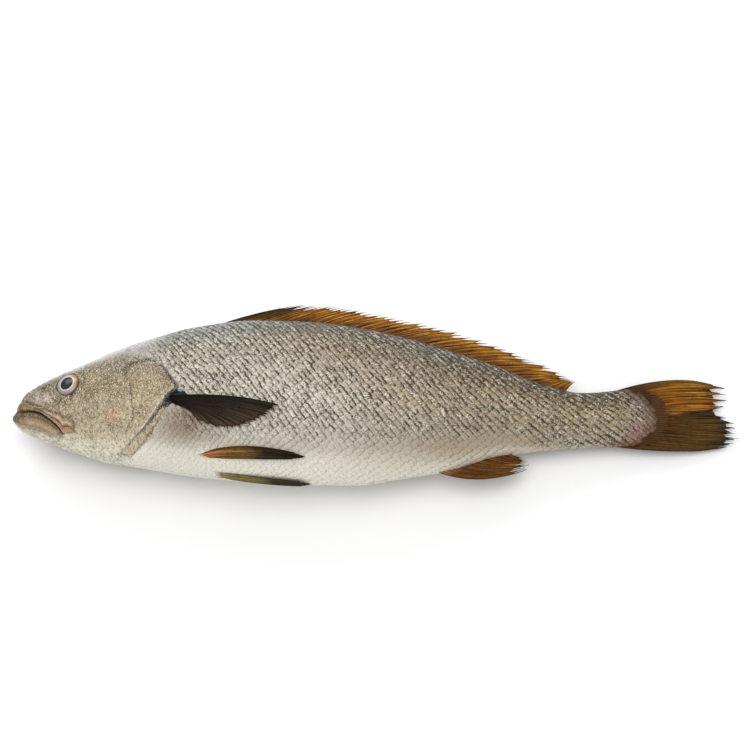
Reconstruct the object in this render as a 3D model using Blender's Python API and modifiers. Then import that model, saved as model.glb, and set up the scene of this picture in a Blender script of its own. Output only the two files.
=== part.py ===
"""A whole raw croaker, lying on its right flank with the left flank up.

Metres, +Z up. +X runs from the head to the tail, +Y from the belly to the back. The origin is at the
bottom centre of the fish's box, on the surface that it lies on.

The fish is one solid: the body with its gill covers, jaws and eyes, and the seven fins that grow from it.
Its shape is worked out in fish coordinates, in millimetres: s back from the tip of the lower jaw, v up
towards the back, and w out from the middle plane. The last step, lie_down, turns them into metres.
"""

import bmesh
import bpy
import numpy as np

MM = 0.001

# Driving sizes, in millimetres
BODY_LENGTH = 545.0
TAIL_TIP = 603.0
ORIGIN_S = 301.3
ORIGIN_V = -10.0

# Sections of the body: s, top of the back, bottom of the belly, half width
SECTIONS = np.array((
    (0, -28.5, -28.5, 0), (3, -16.5, -37.0, 5.5), (8, -9.6, -41.2, 10.0), (15, -5.5, -44.8, 13.6),
    (30, 2.2, -51.2, 18.5), (60, 15.3, -61.6, 26.5), (90, 28.3, -68.8, 31.8), (120, 38.0, -75.0, 35.0),
    (150, 45.8, -80.3, 37.2), (200, 51.8, -85.4, 39.0), (240, 51.3, -87.2, 38.4), (280, 47.6, -87.8, 36.0),
    (320, 40.5, -81.6, 32.0), (360, 30.3, -73.8, 26.8), (400, 17.8, -60.5, 21.0), (440, 2.6, -54.0, 15.8),
    (470, -3.4, -50.8, 12.0), (500, -0.2, -49.5, 7.6), (516, 3.0, -49.0, 4.6), (532, 0.0, -45.0, 2.6),
    (545, -24.0, -24.0, 0),
))
WIDEST_LEVEL = 0.48
FULLNESS = np.array(((0, 2.0), (45, 2.5), (120, 2.35), (220, 2.25), (400, 2.05), (545, 2.0)))

# Height of the middle plane over the surface: the stiff head stays up, the limp tail droops
REST_HEIGHT = np.array((
    (0, 29), (60, 31), (100, 32.5), (150, 34.5), (200, 35), (260, 33.8), (320, 29.5), (380, 23.5),
    (430, 18.5), (480, 14.5), (520, 11), (545, 8.5), (575, 4.5), (600, 3.2),
))
PRESS_SOFTNESS = 1.5

# Mouth: v of the slit, how far the upper and lower lips reach from it, and how far the upper jaw lies behind the
# lower one at the front
SLIT = np.array((
    (0, -28.5), (6.5, -28.3), (13.3, -28.6), (22.9, -30.8), (29.2, -34.5), (35.6, -39.6), (41.7, -45.2),
    (45, -50),
))
SLIT_END = 43.0
UPPER_JAW = np.array((
    (0, 6), (4, 9), (9.2, 10), (14.5, 6.8), (21, 5.4), (29, 5.6), (35, 7.2), (41.5, 10.6), (47.7, 12.4),
    (52, 9.4), (54, 5),
))
LOWER_LIP = np.array(((0, 5), (4, 8.5), (10, 11.5), (20, 13.2), (29, 12.6), (37, 9), (43, 3), (46, 1)))
JAW_END = 54.0
JAW_SETBACK = 3.6
SETBACK_LENGTH = 25.0

# Gill cover: s of its free edge and of the throat membrane behind it, at each v
GILL_EDGE = np.array((
    (-75, 77), (-68, 89), (-62.1, 97), (-56.8, 103.9), (-51.2, 110.5), (-45.2, 116.4), (-36.8, 122.1),
    (-30.3, 126.4), (-21.5, 132.7), (-18.0, 137.5), (-12, 134), (-5.7, 129.9), (3.3, 122.1), (7.7, 115.2),
    (18, 103), (40, 97),
))
THROAT_EDGE = np.array((
    (-75, 92), (-68, 103.3), (-63.9, 108.8), (-58, 114.9), (-50.3, 120.9), (-44.8, 123.8), (-37.7, 127.3),
    (-28, 129.5),
))
CHEEK_EDGE = np.array((
    (-62, 88), (-53, 98), (-43.9, 102.9), (-39.6, 103.4), (-29.1, 102.1), (-19.9, 100.6), (-10.3, 98.3),
    (-2, 94.9), (8, 88),
))
GILL_RING = 115.0
COVER_LIFT = 2.2

# Eye and nostril on each side: s and v of the middle
EYE = (47.3, -8.7)
EYE_RADIUS = 10.6
NOSTRIL = (29.0, -7.6)

# Mesh fineness
RING_SPACING = np.array((
    (0, 1.0), (8, 2.4), (30, 2.9), (58, 2.9), (95, 6), (150, 10), (210, 14), (480, 14), (530, 7), (545, 2),
))
ROWS_FROM_THE_SIDE = np.array((0.25, 0.45, 0.7, 0.85, 0.85, 0.85, 0.85, 0.85, 0.85, 0.8, 0.75, 0.7))

# The underside: its skin ends a little over the surface, the two places that bear the weight reach it, and the
# flesh gives way to the right pectoral fin pressed under it
SKIN_GAP = 0.5
PAD_HEIGHT = 3.0
GILL_COVER_PAD = ((103, -36), (103, -8), (125, -3), (125, -40))
BELLY_PAD = ((226, -44), (226, 3), (325, 1), (348, -20), (325, -43))
FIN_PRINT_MIDDLE = (172.0, -35.0)
FIN_PRINT_REACH = (66.0, 32.0)
FIN_PRINT_DEPTH = 0.8
PRESSED_FIN_THICKNESS = 1.8
PRESSED_FIN_HEIGHT = 1.2


def curve(x, knots):
    """The smooth curve through knots (x, y) at x, with no overshoot between them."""
    xs, ys = knots[:, 0], knots[:, 1]
    gap = np.diff(xs)
    slope = np.diff(ys) / gap
    tangent = np.concatenate((slope[:1], np.zeros(len(xs) - 2), slope[-1:]))
    same_way = slope[:-1] * slope[1:] > 0
    both = np.where(same_way, slope[:-1] + slope[1:], 1.0)
    tangent[1:-1] = np.where(same_way, 2 * slope[:-1] * slope[1:] / both, 0.0)
    x = np.clip(x, xs[0], xs[-1])
    i = np.clip(np.searchsorted(xs, x) - 1, 0, len(gap) - 1)
    t = (x - xs[i]) / gap[i]
    rise = t * t * (3 - 2 * t)
    bend = tangent[i] * t * (1 - t) ** 2 - tangent[i + 1] * t * t * (1 - t)
    return ys[i] + rise * (ys[i + 1] - ys[i]) + gap[i] * bend


def ease(x):
    """0 below 0, 1 above 1, smooth between."""
    x = np.clip(x, 0.0, 1.0)
    return x * x * (3 - 2 * x)


def hump(x, width):
    return np.exp(-((x / width) ** 2))


def round_ends(s):
    """The angle of s on a half circle over the body, which makes both ends of the body blunt and round."""
    return np.arccos(np.clip(1 - 2 * s / BODY_LENGTH, -1.0, 1.0))


def section(s):
    """Top, bottom, half width, level of the widest point and superellipse power at s."""
    angle = round_ends(s)
    knots = round_ends(SECTIONS[:, 0])
    top, bottom, half = (curve(angle, np.stack((knots, SECTIONS[:, i]), 1)) for i in (1, 2, 3))
    return top, bottom, half, bottom + WIDEST_LEVEL * (top - bottom), curve(s, FULLNESS)


def half_width_at(s, v):
    """How far the flank stands out from the middle plane at s and v."""
    top, bottom, half, widest, power = section(s)
    reach = np.maximum(np.where(v > widest, top - widest, widest - bottom), 0.01)
    inside = np.clip(1 - np.abs((v - widest) / reach) ** power, 0.0, 1.0)
    return half * inside ** (1 / power)


def body_point(s, turn):
    """The bare body at s, turn 0 on the back and 1 under the belly, with row 0.5 on the mouth's slit."""
    top, bottom, half, widest, power = section(s)
    low = np.maximum(widest - bottom, 0.01)
    drop = np.clip((widest - curve(s, SLIT)) / low, 0.0, 1.0) ** (power / 2)
    lean = np.arcsin(drop) * (1 - ease((s - SLIT_END) / 70))
    angle = np.pi * turn + lean * np.sin(np.pi * turn)
    up = np.cos(angle)
    height = np.where(up > 0, top - widest, widest - bottom)
    v = widest + height * np.sign(up) * np.abs(up) ** (2 / power)
    w = half * np.abs(np.sin(angle)) ** (2 / power)
    return v, w


def setback(s, v):
    """How far the upper jaw is set back at the front."""
    return JAW_SETBACK * ease((v - curve(s, SLIT)) / 3) * np.clip(1 - s / SETBACK_LENGTH, 0, 1) ** 2


def mouth_relief(s, v):
    """Lips that stand out on both sides of a deep slit."""
    away = v - curve(s, SLIT)
    upper, lower = curve(s, UPPER_JAW), curve(s, LOWER_LIP)
    in_jaw = 1 - ease((s - JAW_END) / 3)
    in_slit = 1 - ease((s - SLIT_END) / 4)
    upper_lip = 1.5 * np.sqrt(np.clip(1 - (2 * away / upper - 1) ** 2, 0, 1)) * in_jaw
    lower_lip = 1.3 * np.sqrt(np.clip(1 - (2 * away / lower + 1) ** 2, 0, 1)) * in_slit
    slit = -4.2 * hump(away, 0.9) * in_slit * ease((s + 1) / 9)
    groove = -1.0 * (hump(away - upper - 0.6, 1.3) * in_jaw + 0.6 * hump(away + lower + 0.6, 1.3) * in_slit)
    lips = np.where(away > 0, upper_lip, lower_lip) * (0.3 + 0.7 * ease(s / 9))
    return lips + slit + groove


def gill_relief(s, v):
    """The gill cover, with its free edge over the flank, the throat membrane and the cheek's edge."""
    past = s - curve(v, GILL_EDGE)
    open_here = ease((v + 72) / 10) * ease((16 - v) / 12)
    cover = np.where(past < 0, COVER_LIFT * ease(1 + past / 45), -0.8 * hump(past, 4.0))
    throat = ease((-30 - v) / 8) * 0.9 * ease((curve(v, THROAT_EDGE) - s) / 1.5) * (past >= 0)
    cheek = -0.5 * hump(s - curve(v, CHEEK_EDGE), 2.2) * ease((v + 62) / 6) * ease((8 - v) / 6)
    return cover * open_here + throat * ease((v + 72) / 6) + cheek


def eye_relief(s, v, w):
    """The bulging eye in its socket, and the nostril pit."""
    eye_w = half_width_at(np.array(EYE[0]), np.array(EYE[1]))
    r = np.sqrt((s - EYE[0]) ** 2 + (v - EYE[1]) ** 2 + (w - eye_w) ** 2) / EYE_RADIUS
    ball = 3.2 * np.sqrt(np.clip(1 - r * r, 0, 1)) - 0.4
    socket = -0.9 * hump(r - 1.12, 0.14) + 0.5 * hump(r - 1.45, 0.2)
    nostril_w = half_width_at(np.array(NOSTRIL[0]), np.array(NOSTRIL[1]))
    pit = np.sqrt((s - NOSTRIL[0]) ** 2 + (v - NOSTRIL[1]) ** 2 + (w - nostril_w) ** 2)
    return np.where(r < 1, ball, socket) - 1.2 * hump(pit, 1.8)


def relief(s, v, w):
    return mouth_relief(s, v) + gill_relief(s, v) + eye_relief(s, v, w)


def lie_down(s, v, w, lowest=0.0):
    """World position in metres: the underside is pressed flat on the surface, no lower than lowest."""
    height = curve(s, REST_HEIGHT) + w - lowest
    soft = (height + PRESS_SOFTNESS) ** 2 / (4 * PRESS_SOFTNESS)
    pressed = np.where(height < -PRESS_SOFTNESS, 0.0, np.where(height > PRESS_SOFTNESS, height, soft))
    return np.stack((s - ORIGIN_S, v - ORIGIN_V, pressed + lowest), -1) * MM


def underside_height(s, v, w):
    """How far over the surface the skin ends: more where the pressed fin lies under it."""
    r = np.hypot((s - FIN_PRINT_MIDDLE[0]) / FIN_PRINT_REACH[0], (v - FIN_PRINT_MIDDLE[1]) / FIN_PRINT_REACH[1])
    return SKIN_GAP + FIN_PRINT_DEPTH * ease((1 - r) / 0.12) * (w < 0)


def grid_mesh(name, points):
    """A mesh whose quads join neighbouring points of a grid of rows by columns."""
    rows, columns = points.shape[:2]
    bm = bmesh.new()
    bmesh.ops.create_grid(bm, x_segments=columns - 1, y_segments=rows - 1, size=1.0)
    bm.verts.ensure_lookup_table()
    for vert, point in zip(bm.verts, points.reshape(-1, 3)):
        vert.co = point
    mesh = bpy.data.meshes.new(name)
    return bm, mesh


def add_object(name, bm, mesh, collection):
    bmesh.ops.recalc_face_normals(bm, faces=bm.faces[:])
    bm.to_mesh(mesh)
    bm.free()
    obj = bpy.data.objects.new(name, mesh)
    collection.objects.link(obj)
    return obj


def ring_positions():
    """Straight rings from jaw to tail, with a close pair that becomes the two sides of the gill opening."""
    found = [0.0]
    while found[-1] < BODY_LENGTH - 1.5:
        found.append(found[-1] + float(curve(np.array(found[-1]), RING_SPACING)))
    found[-1] = BODY_LENGTH
    kept = [s for s in found if abs(s - GILL_RING) > 3.0]
    return np.array(sorted(kept + [GILL_RING - 2.5, GILL_RING - 0.45, GILL_RING + 0.45, GILL_RING + 3.0]))


def build_body(collection):
    """The body is a tube of rings, closed at the jaw and inside the tail fin."""
    rings = ring_positions()
    steps = np.cumsum(ROWS_FROM_THE_SIDE) / ROWS_FROM_THE_SIDE.sum() / 2
    turns = np.concatenate((0.5 - steps[::-1], (0.5,), 0.5 + steps))
    around = np.concatenate((turns, turns[-2::-1]))
    side = np.concatenate((np.ones(len(turns)), -np.ones(len(turns) - 1)))
    s, turn = np.meshgrid(rings, around, indexing="ij")
    v, w = body_point(s, turn)
    follow = ease(s / GILL_RING) * (1 - ease((s - GILL_RING) / 120))
    s = s + (curve(v, GILL_EDGE) - GILL_RING) * follow
    v, w = body_point(s, turn)
    side = np.broadcast_to(side, s.shape)
    bare = np.stack((s + setback(s, v), v, w * side), -1)
    along = np.gradient(bare, axis=0)
    across = np.gradient(bare, axis=1)
    normal = np.cross(along, across)
    normal /= np.maximum(np.linalg.norm(normal, axis=2, keepdims=True), 1e-9)
    from_middle = np.stack((np.zeros_like(s), v + 25, w * side), -1)
    outward = np.sign(np.sum(normal * from_middle, axis=2, keepdims=True))
    normal = normal * np.where(outward == 0, 1, outward)
    normal[0] = (-1.0, 0.0, 0.0)
    normal[-1] = (1.0, 0.0, 0.0)
    shaped = bare + normal * relief(s, v, w)[..., None]
    shaped[:, -1] = shaped[:, 0]
    s, v, w = np.moveaxis(shaped, -1, 0)
    bm, mesh = grid_mesh("fish", lie_down(s, v, w, underside_height(s, v, w)))
    bmesh.ops.remove_doubles(bm, verts=bm.verts[:], dist=0.00001)
    return add_object("fish", bm, mesh, collection)


def fin_grid(keys, rays, rows, pleat, notch):
    """s, v, w and root-to-tip share of a pleated fin. keys are (share across, root, bow, tip), each s, v, w."""
    shares = np.array([key[0] for key in keys], float)
    across = np.linspace(0, 1, 2 * rays + 1)
    ends = [
        np.stack([
            curve(across, np.stack((shares, np.array([key[1 + end][axis] for key in keys], float)), 1))
            for axis in range(3)
        ], 1)
        for end in range(3)
    ]
    membrane = np.arange(len(across)) % 2
    ray_number = np.arange(len(across)) // 2
    length = 1 - notch * membrane - 0.35 * notch * (ray_number % 3 == 1)
    t = np.linspace(0, 1, rows)[:, None, None] * length[None, :, None]
    root, bow, tip = (end[None] for end in ends)
    points = (1 - t) ** 2 * root + 2 * t * (1 - t) * bow + t * t * tip
    spacing = np.linalg.norm(np.diff(points, axis=1), axis=2).mean(axis=1)
    depth = np.minimum(pleat * ease(np.linspace(0, 1, rows) * 3), 0.45 * spacing)
    fold = depth[:, None] * (0.5 - membrane)
    return points, fold, np.broadcast_to(t[..., 0], points.shape[:2])


def build_fin(name, collection, keys, rays, rows, thickness, pleat=0.9, notch=0.05, seat=None, lowest=None):
    """One fin as a thin pleated plate, thicker at its root, which reaches into the body."""
    points, fold, t = fin_grid(keys, rays, rows, pleat, notch)
    s, v, w = np.moveaxis(points, -1, 0)
    if seat:
        v, w = seat(s, v, w + fold)
    else:
        w = w + fold
    placed = lie_down(s, v, w) if lowest is None else lie_down(s, v, w * 0 - 99, lowest + 0 * s)
    bm, mesh = grid_mesh(name, placed)
    obj = add_object(name, bm, mesh, collection)
    taper = obj.vertex_groups.new(name="taper")
    for index, share in enumerate(t.reshape(-1)):
        taper.add([index], float(1 - 0.6 * share) if lowest is None else 1.0, "REPLACE")
    solid = obj.modifiers.new("thickness", "SOLIDIFY")
    solid.thickness = thickness * MM
    solid.offset = 0.0
    solid.vertex_group = taper.name
    return obj


def on_flank(side):
    """Seats a fin on one flank: its w is then its height over the skin."""
    return lambda s, v, w: (v, side * (half_width_at(s, v) + w))


def on_belly(s, v, w):
    """Seats a fin under the belly: its v is then its height over the skin, downwards."""
    top, bottom, half, widest, power = section(s)
    inside = np.clip(1 - np.abs(w / half) ** power, 0.05, 1.0)
    return widest - (widest - bottom) * inside ** (1 / power) - v, w


def dorsal_keys():
    """The long back fin: spines folded far back in front, then soft rays, low at the tail end."""
    reach = np.array((
        (160, 62), (190, 60), (215, 52), (240, 44), (270, 43), (300, 45), (340, 50), (380, 52), (415, 47),
        (440, 25), (457, 10),
    ))
    height = np.array((
        (187, 8), (207, 11.5), (222, 14), (235, 16.5), (247, 18), (266, 18.5), (286, 18), (306, 17.5),
        (326, 18), (346, 19), (386, 20), (426, 19.5), (446, 18), (460, 13), (472, 8),
    ))
    keys = []
    for share in np.linspace(0, 1, 16):
        root_s = 160 + share * (457 - 160)
        tip_s = root_s + float(curve(np.array(root_s), reach))
        bow_s = 0.5 * (root_s + tip_s)
        root_v = float(section(np.array(root_s))[0]) - 1.5
        tip_v = float(section(np.array(tip_s))[0] + curve(np.array(tip_s), height))
        bow_v = 0.5 * (root_v + tip_v) + 3.0
        keys.append((share, (root_s, root_v, 0), (bow_s, bow_v, 0.5), (tip_s, tip_v, 0.5)))
    return keys


TAIL_KEYS = (
    (0.00, (478, -9, 0), (546, 21, 0), (593, 7.5, 0)),
    (0.12, (490, -12, 0), (548, 9, 1.0), (595.5, 2.5, 1.0)),
    (0.30, (505, -16, 0), (550, -6, -0.5), (595, -6.5, -0.5)),
    (0.44, (514, -21, 0), (553, -16, 0.8), (592.5, -14, 1.2)),
    (0.50, (516, -24, 0), (556, -20, -1.0), (594, -20, -1.0)),
    (0.62, (514, -28, 0), (558, -27, 0.5), (602, -28, 0.5)),
    (0.76, (508, -33, 0), (556, -36, 0), (TAIL_TIP, -36, 0)),
    (0.90, (492, -40, 0), (550, -48, -0.8), (600, -43, -0.8)),
    (1.00, (478, -46.5, 0), (542, -56, 0), (591, -47.5, 0)),
)
ANAL_KEYS = (
    (0.00, (346, -74, 0), (382, -89, 0.5), (425, -71.0, 1.5)),
    (0.25, (360, -70, 0), (393, -78, 0), (426, -68.0, 0.5)),
    (0.55, (382, -62, 0), (402, -70, 0.5), (425, -65, 0)),
    (1.00, (408, -56, 0), (414, -60.5, 0), (420, -61, 0)),
)
PECTORAL_KEYS = (
    (0.00, (132, -25.0, -2.5), (185, -25.0, 5), (223.5, -35.0, 3)),
    (0.30, (132, -26.6, -2.5), (180, -31, 5), (217, -40, 3)),
    (0.60, (132.5, -28.2, -2.5), (171, -36, 5), (203, -48.5, 2.5)),
    (0.85, (133, -29.8, -2.5), (161, -37.5, 5), (180, -53.5, 2.5)),
    (1.00, (133.5, -31.4, -2.5), (152, -34.5, 4.5), (158.5, -47, 2)),
)
LEFT_PELVIC_KEYS = (
    (0.0, (150, -70.5, -2), (188, -63.5, 5.0), (234, -71.5, 4.2)),
    (0.5, (150, -71.5, -2), (196, -70, 5.5), (244, -74.4, 4)),
    (1.0, (151, -72.5, -3), (194, -77.5, 6.0), (235, -76.5, 4.5)),
)
# The right pelvic fin lies across the belly's midline, so here v is its height over the skin
RIGHT_PELVIC_KEYS = (
    (0.0, (158, -4, 9), (198, 3.0, 13), (238, 2.0, 7.0)),
    (0.5, (159, -4, 5), (198, 3.2, 5.5), (245, 2.0, 2.0)),
    (1.0, (161, -4, 1), (198, 3.0, -2), (239, 2.0, -3.0)),
)


def build_pad(name, collection, outline):
    """A flat place on the underside that bears the weight, as a low prism sunk in the flesh."""
    bm = bmesh.new()
    floor = bm.faces.new([bm.verts.new(((s - ORIGIN_S) * MM, (v - ORIGIN_V) * MM, 0.0)) for s, v in outline])
    grown = bmesh.ops.extrude_face_region(bm, geom=[floor])
    tops = [item for item in grown["geom"] if isinstance(item, bmesh.types.BMVert)]
    bmesh.ops.translate(bm, verts=tops, vec=(0.0, 0.0, PAD_HEIGHT * MM))
    return add_object(name, bm, bpy.data.meshes.new(name), collection)


def build_fins(collection):
    build_fin("dorsal_fin", collection, dorsal_keys(), rays=31, rows=4, thickness=1.3, notch=0.13)
    build_fin("tail_fin", collection, TAIL_KEYS, rays=17, rows=6, thickness=2.2, pleat=1.0, notch=0.07)
    build_fin("anal_fin", collection, ANAL_KEYS, rays=8, rows=5, thickness=1.4, notch=0.12)
    build_fin("left_pectoral_fin", collection, PECTORAL_KEYS, rays=11, rows=6, thickness=1.2, pleat=0.3,
              seat=on_flank(1))
    build_fin("right_pectoral_fin", collection, PECTORAL_KEYS, rays=12, rows=5,
              thickness=PRESSED_FIN_THICKNESS, pleat=0.0, lowest=PRESSED_FIN_HEIGHT)
    build_fin("left_pelvic_fin", collection, LEFT_PELVIC_KEYS, rays=4, rows=7, thickness=1.6, pleat=0.0,
              notch=0.0, seat=on_flank(1))
    build_fin("right_pelvic_fin", collection, RIGHT_PELVIC_KEYS, rays=4, rows=7, thickness=1.6, pleat=0.3,
              notch=0.0, seat=on_belly)


def skin_material():
    material = bpy.data.materials.new("fish_skin")
    material.use_nodes = True
    shader = material.node_tree.nodes["Principled BSDF"]
    shader.inputs["Base Color"].default_value = (0.42, 0.36, 0.27, 1.0)
    shader.inputs["Roughness"].default_value = 0.4
    shader.inputs["Metallic"].default_value = 0.0
    return material


def join_fins(body, fins):
    """One union makes the body and its fins a single solid, and the loose fins are removed."""
    union = body.modifiers.new("fins", "BOOLEAN")
    union.operation = "UNION"
    union.operand_type = "COLLECTION"
    union.collection = fins
    union.solver = "EXACT"
    graph = bpy.context.evaluated_depsgraph_get()
    joined = bpy.data.meshes.new_from_object(body.evaluated_get(graph))
    body.modifiers.clear()
    body.data = joined
    for fin in list(fins.objects):
        bpy.data.objects.remove(fin)
    bpy.data.collections.remove(fins)


def main():
    for obj in list(bpy.data.objects):
        bpy.data.objects.remove(obj)
    collection = bpy.data.collections.new("whole_raw_fish")
    fins = bpy.data.collections.new("fins")
    for made in (collection, fins):
        bpy.context.scene.collection.children.link(made)
    body = build_body(collection)
    build_fins(fins)
    build_pad("gill_cover_pad", fins, GILL_COVER_PAD)
    build_pad("belly_pad", fins, BELLY_PAD)
    join_fins(body, fins)
    body.data.materials.clear()
    body.data.materials.append(skin_material())
    body.data.shade_smooth()
    body.data.set_sharp_from_angle(angle=np.radians(40))


main()
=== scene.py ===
"""The looks of a whole raw croaker that lies on its right flank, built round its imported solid.

Shapes are worked out in fish coordinates, in millimetres: s back from the tip of the lower jaw, v up towards
the back, and w out from the middle plane. turn goes round one side of the body, from 0 on the back to 1 under
the belly. lie_down turns them into the part's frame, in metres: +X to the tail, +Y to the back, +Z up.
"""

import math

import bmesh
import bpy
import numpy as np
from mathutils import Matrix, Vector


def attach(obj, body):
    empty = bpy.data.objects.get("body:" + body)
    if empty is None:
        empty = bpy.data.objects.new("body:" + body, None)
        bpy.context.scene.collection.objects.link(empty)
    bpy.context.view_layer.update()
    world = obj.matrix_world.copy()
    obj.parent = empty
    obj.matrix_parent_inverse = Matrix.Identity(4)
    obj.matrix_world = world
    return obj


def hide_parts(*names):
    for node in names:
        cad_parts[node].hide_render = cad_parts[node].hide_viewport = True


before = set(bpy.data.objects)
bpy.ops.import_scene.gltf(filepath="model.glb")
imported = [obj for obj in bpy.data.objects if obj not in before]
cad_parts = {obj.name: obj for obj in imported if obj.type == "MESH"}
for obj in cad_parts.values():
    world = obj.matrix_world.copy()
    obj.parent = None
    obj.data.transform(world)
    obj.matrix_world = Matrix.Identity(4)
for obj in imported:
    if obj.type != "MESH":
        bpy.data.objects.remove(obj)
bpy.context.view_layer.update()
random = np.random.default_rng(11)

MM = 0.001
NODE = "fish"

# Sizes that the solid has too, in millimetres
BODY_LENGTH = 545.0
TAIL_TIP = 603.0
ORIGIN_S = 301.3
ORIGIN_V = -10.0

# The body's sections: s, top, bottom and half width
SECTIONS = np.array((
    (0, -28.5, -28.5, 0), (3, -16.5, -37.0, 5.5), (8, -9.6, -41.2, 10.0), (15, -5.5, -44.8, 13.6),
    (30, 2.2, -51.2, 18.5), (60, 15.3, -61.6, 26.5), (90, 28.3, -68.8, 31.8), (120, 38.0, -75.0, 35.0),
    (150, 45.8, -80.3, 37.2), (200, 51.8, -85.4, 39.0), (240, 51.3, -87.2, 38.4), (280, 47.6, -87.8, 36.0),
    (320, 40.5, -81.6, 32.0), (360, 30.3, -73.8, 26.8), (400, 17.8, -60.5, 21.0), (440, 2.6, -54.0, 15.8),
    (470, -3.4, -50.8, 12.0), (500, -0.2, -49.5, 7.6), (516, 3.0, -49.0, 4.2), (532, 0.0, -45.0, 1.6),
    (545, -24.0, -24.0, 0),
))

# Where a section is widest, as a share of its height, and how full it is along the body
WIDEST_LEVEL = 0.48
FULLNESS = np.array(((0, 2.0), (45, 2.5), (120, 2.35), (220, 2.25), (400, 2.05), (545, 2.0)))

# Height of the middle plane over the ground, how softly the underside is pressed, and its gap to the ground
REST_HEIGHT = np.array((
    (0, 29), (60, 31), (100, 32.5), (150, 34.5), (200, 35), (260, 33.8), (320, 29.5), (380, 23.5),
    (430, 18.5), (480, 14.5), (520, 11), (545, 8.5), (575, 4.5), (600, 3.2),
))
PRESS_SOFTNESS = 1.5
SKIN_GAP = 0.5

# The mouth: v of its slit at s, and how far the upper jaw and the lower lip reach from the slit
SLIT = np.array((
    (0, -28.5), (6.5, -28.3), (13.3, -28.6), (22.9, -30.8), (29.2, -34.5), (35.6, -39.6), (41.7, -45.2),
    (45, -50),
))
SLIT_END = 43.0
UPPER_JAW = np.array((
    (0, 6), (4, 9), (9.2, 10), (14.5, 6.8), (21, 5.4), (29, 5.6), (35, 7.2), (41.5, 10.6), (47.7, 12.4),
    (52, 9.4), (54, 5),
))
LOWER_LIP = np.array(((0, 5), (4, 8.5), (10, 11.5), (20, 13.2), (29, 12.6), (37, 9), (43, 3), (46, 1)))
JAW_END = 54.0

# How far the front of the upper jaw is set back from the lower one, and over what length
JAW_SETBACK = 3.6
SETBACK_LENGTH = 25.0

# s at v of the gill cover's free edge, of the throat membrane's edge behind it and of the cheek's edge
GILL_EDGE = np.array((
    (-75, 77), (-68, 89), (-62.1, 97), (-56.8, 103.9), (-51.2, 110.5), (-45.2, 116.4), (-36.8, 122.1),
    (-30.3, 126.4), (-21.5, 132.7), (-18.0, 137.5), (-12, 134), (-5.7, 129.9), (3.3, 122.1), (7.7, 115.2),
    (18, 103), (40, 97),
))
THROAT_EDGE = np.array((
    (-75, 92), (-68, 103.3), (-63.9, 108.8), (-58, 114.9), (-50.3, 120.9), (-44.8, 123.8), (-37.7, 127.3),
    (-28, 129.5),
))
CHEEK_EDGE = np.array((
    (-62, 88), (-53, 98), (-43.9, 102.9), (-39.6, 103.4), (-29.1, 102.1), (-19.9, 100.6), (-10.3, 98.3),
    (-2, 94.9), (8, 88),
))
COVER_LIFT = 2.2

# The eye's socket, the eyeball's reach along, up and out, and how deep it sits
EYE = (47.3, -8.7)
EYE_RADIUS = 10.6
EYEBALL = (11.2, 10.7, 5.4)
EYE_SINK = 2.5
NOSTRILS = ((29.8, -6.6), (26.6, -9.4))

# v at s of the crease over the gill opening and of the lateral line
GILL_CREASE = np.array(((88, -2.5), (94, 1.2), (104, 6.2), (113, 8.0), (120, 6.0)))
LATERAL_LINE = np.array((
    (90, 8), (134, 3.3), (165, 9), (195, 10.1), (261, -1.7), (344, -18.7), (386, -26), (419, -25.3),
    (485, -20.5), (518, -17.5), (545, -22),
))

# Scales: the way between rows, and between scales along a row, from head to tail, and the rows over and
# under the lateral line
ROW_GAP = np.array(((60, 2.4), (110, 2.8), (160, 3.4), (260, 3.6), (380, 3.3), (480, 2.9), (545, 2.4)))
SCALE_STEP = np.array((
    (60, 3.4), (110, 4.2), (160, 5.3), (260, 6.8), (360, 7.4), (480, 7.4), (520, 5.8), (545, 4.2),
))
ROWS_UP, ROWS_DOWN = 26, 44


def curve(x, knots):
    """The smooth curve through knots (x, y) at x, with no overshoot between them."""
    xs, ys = knots[:, 0], knots[:, 1]
    gap = np.diff(xs)
    slope = np.diff(ys) / gap
    tangent = np.concatenate((slope[:1], np.zeros(len(xs) - 2), slope[-1:]))
    same_way = slope[:-1] * slope[1:] > 0
    both = np.where(same_way, slope[:-1] + slope[1:], 1.0)
    tangent[1:-1] = np.where(same_way, 2 * slope[:-1] * slope[1:] / both, 0.0)
    x = np.clip(x, xs[0], xs[-1])
    i = np.clip(np.searchsorted(xs, x) - 1, 0, len(gap) - 1)
    t = (x - xs[i]) / gap[i]
    rise = t * t * (3 - 2 * t)
    bend = tangent[i] * t * (1 - t) ** 2 - tangent[i + 1] * t * t * (1 - t)
    return ys[i] + rise * (ys[i + 1] - ys[i]) + gap[i] * bend


def ease(x):
    """0 below 0, 1 above 1, smooth between."""
    x = np.clip(x, 0.0, 1.0)
    return x * x * (3 - 2 * x)


def hump(x, width):
    """1 at 0, falling off smoothly to both sides over width."""
    return np.exp(-((x / width) ** 2))


def spot(s, v, middle, reach):
    """A soft round mark, 1 at its middle."""
    return hump(np.hypot((s - middle[0]) / reach[0], (v - middle[1]) / reach[1]), 1.0)


# Body

def round_ends(s):
    """The angle of s on a half circle over the body, which makes both ends of the body blunt and round."""
    return np.arccos(np.clip(1 - 2 * s / BODY_LENGTH, -1.0, 1.0))


def section(s):
    """Top, bottom, half width, level of the widest point and superellipse power at s."""
    angle = round_ends(s)
    knots = round_ends(SECTIONS[:, 0])
    top, bottom, half = (curve(angle, np.stack((knots, SECTIONS[:, i]), 1)) for i in (1, 2, 3))
    return top, bottom, half, bottom + WIDEST_LEVEL * (top - bottom), curve(s, FULLNESS)


def half_width_at(s, v):
    """How far the flank stands out from the middle plane at s and v."""
    top, bottom, half, widest, power = section(s)
    reach = np.maximum(np.where(v > widest, top - widest, widest - bottom), 0.01)
    inside = np.clip(1 - np.abs((v - widest) / reach) ** power, 0.0, 1.0)
    return half * inside ** (1 / power)


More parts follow.
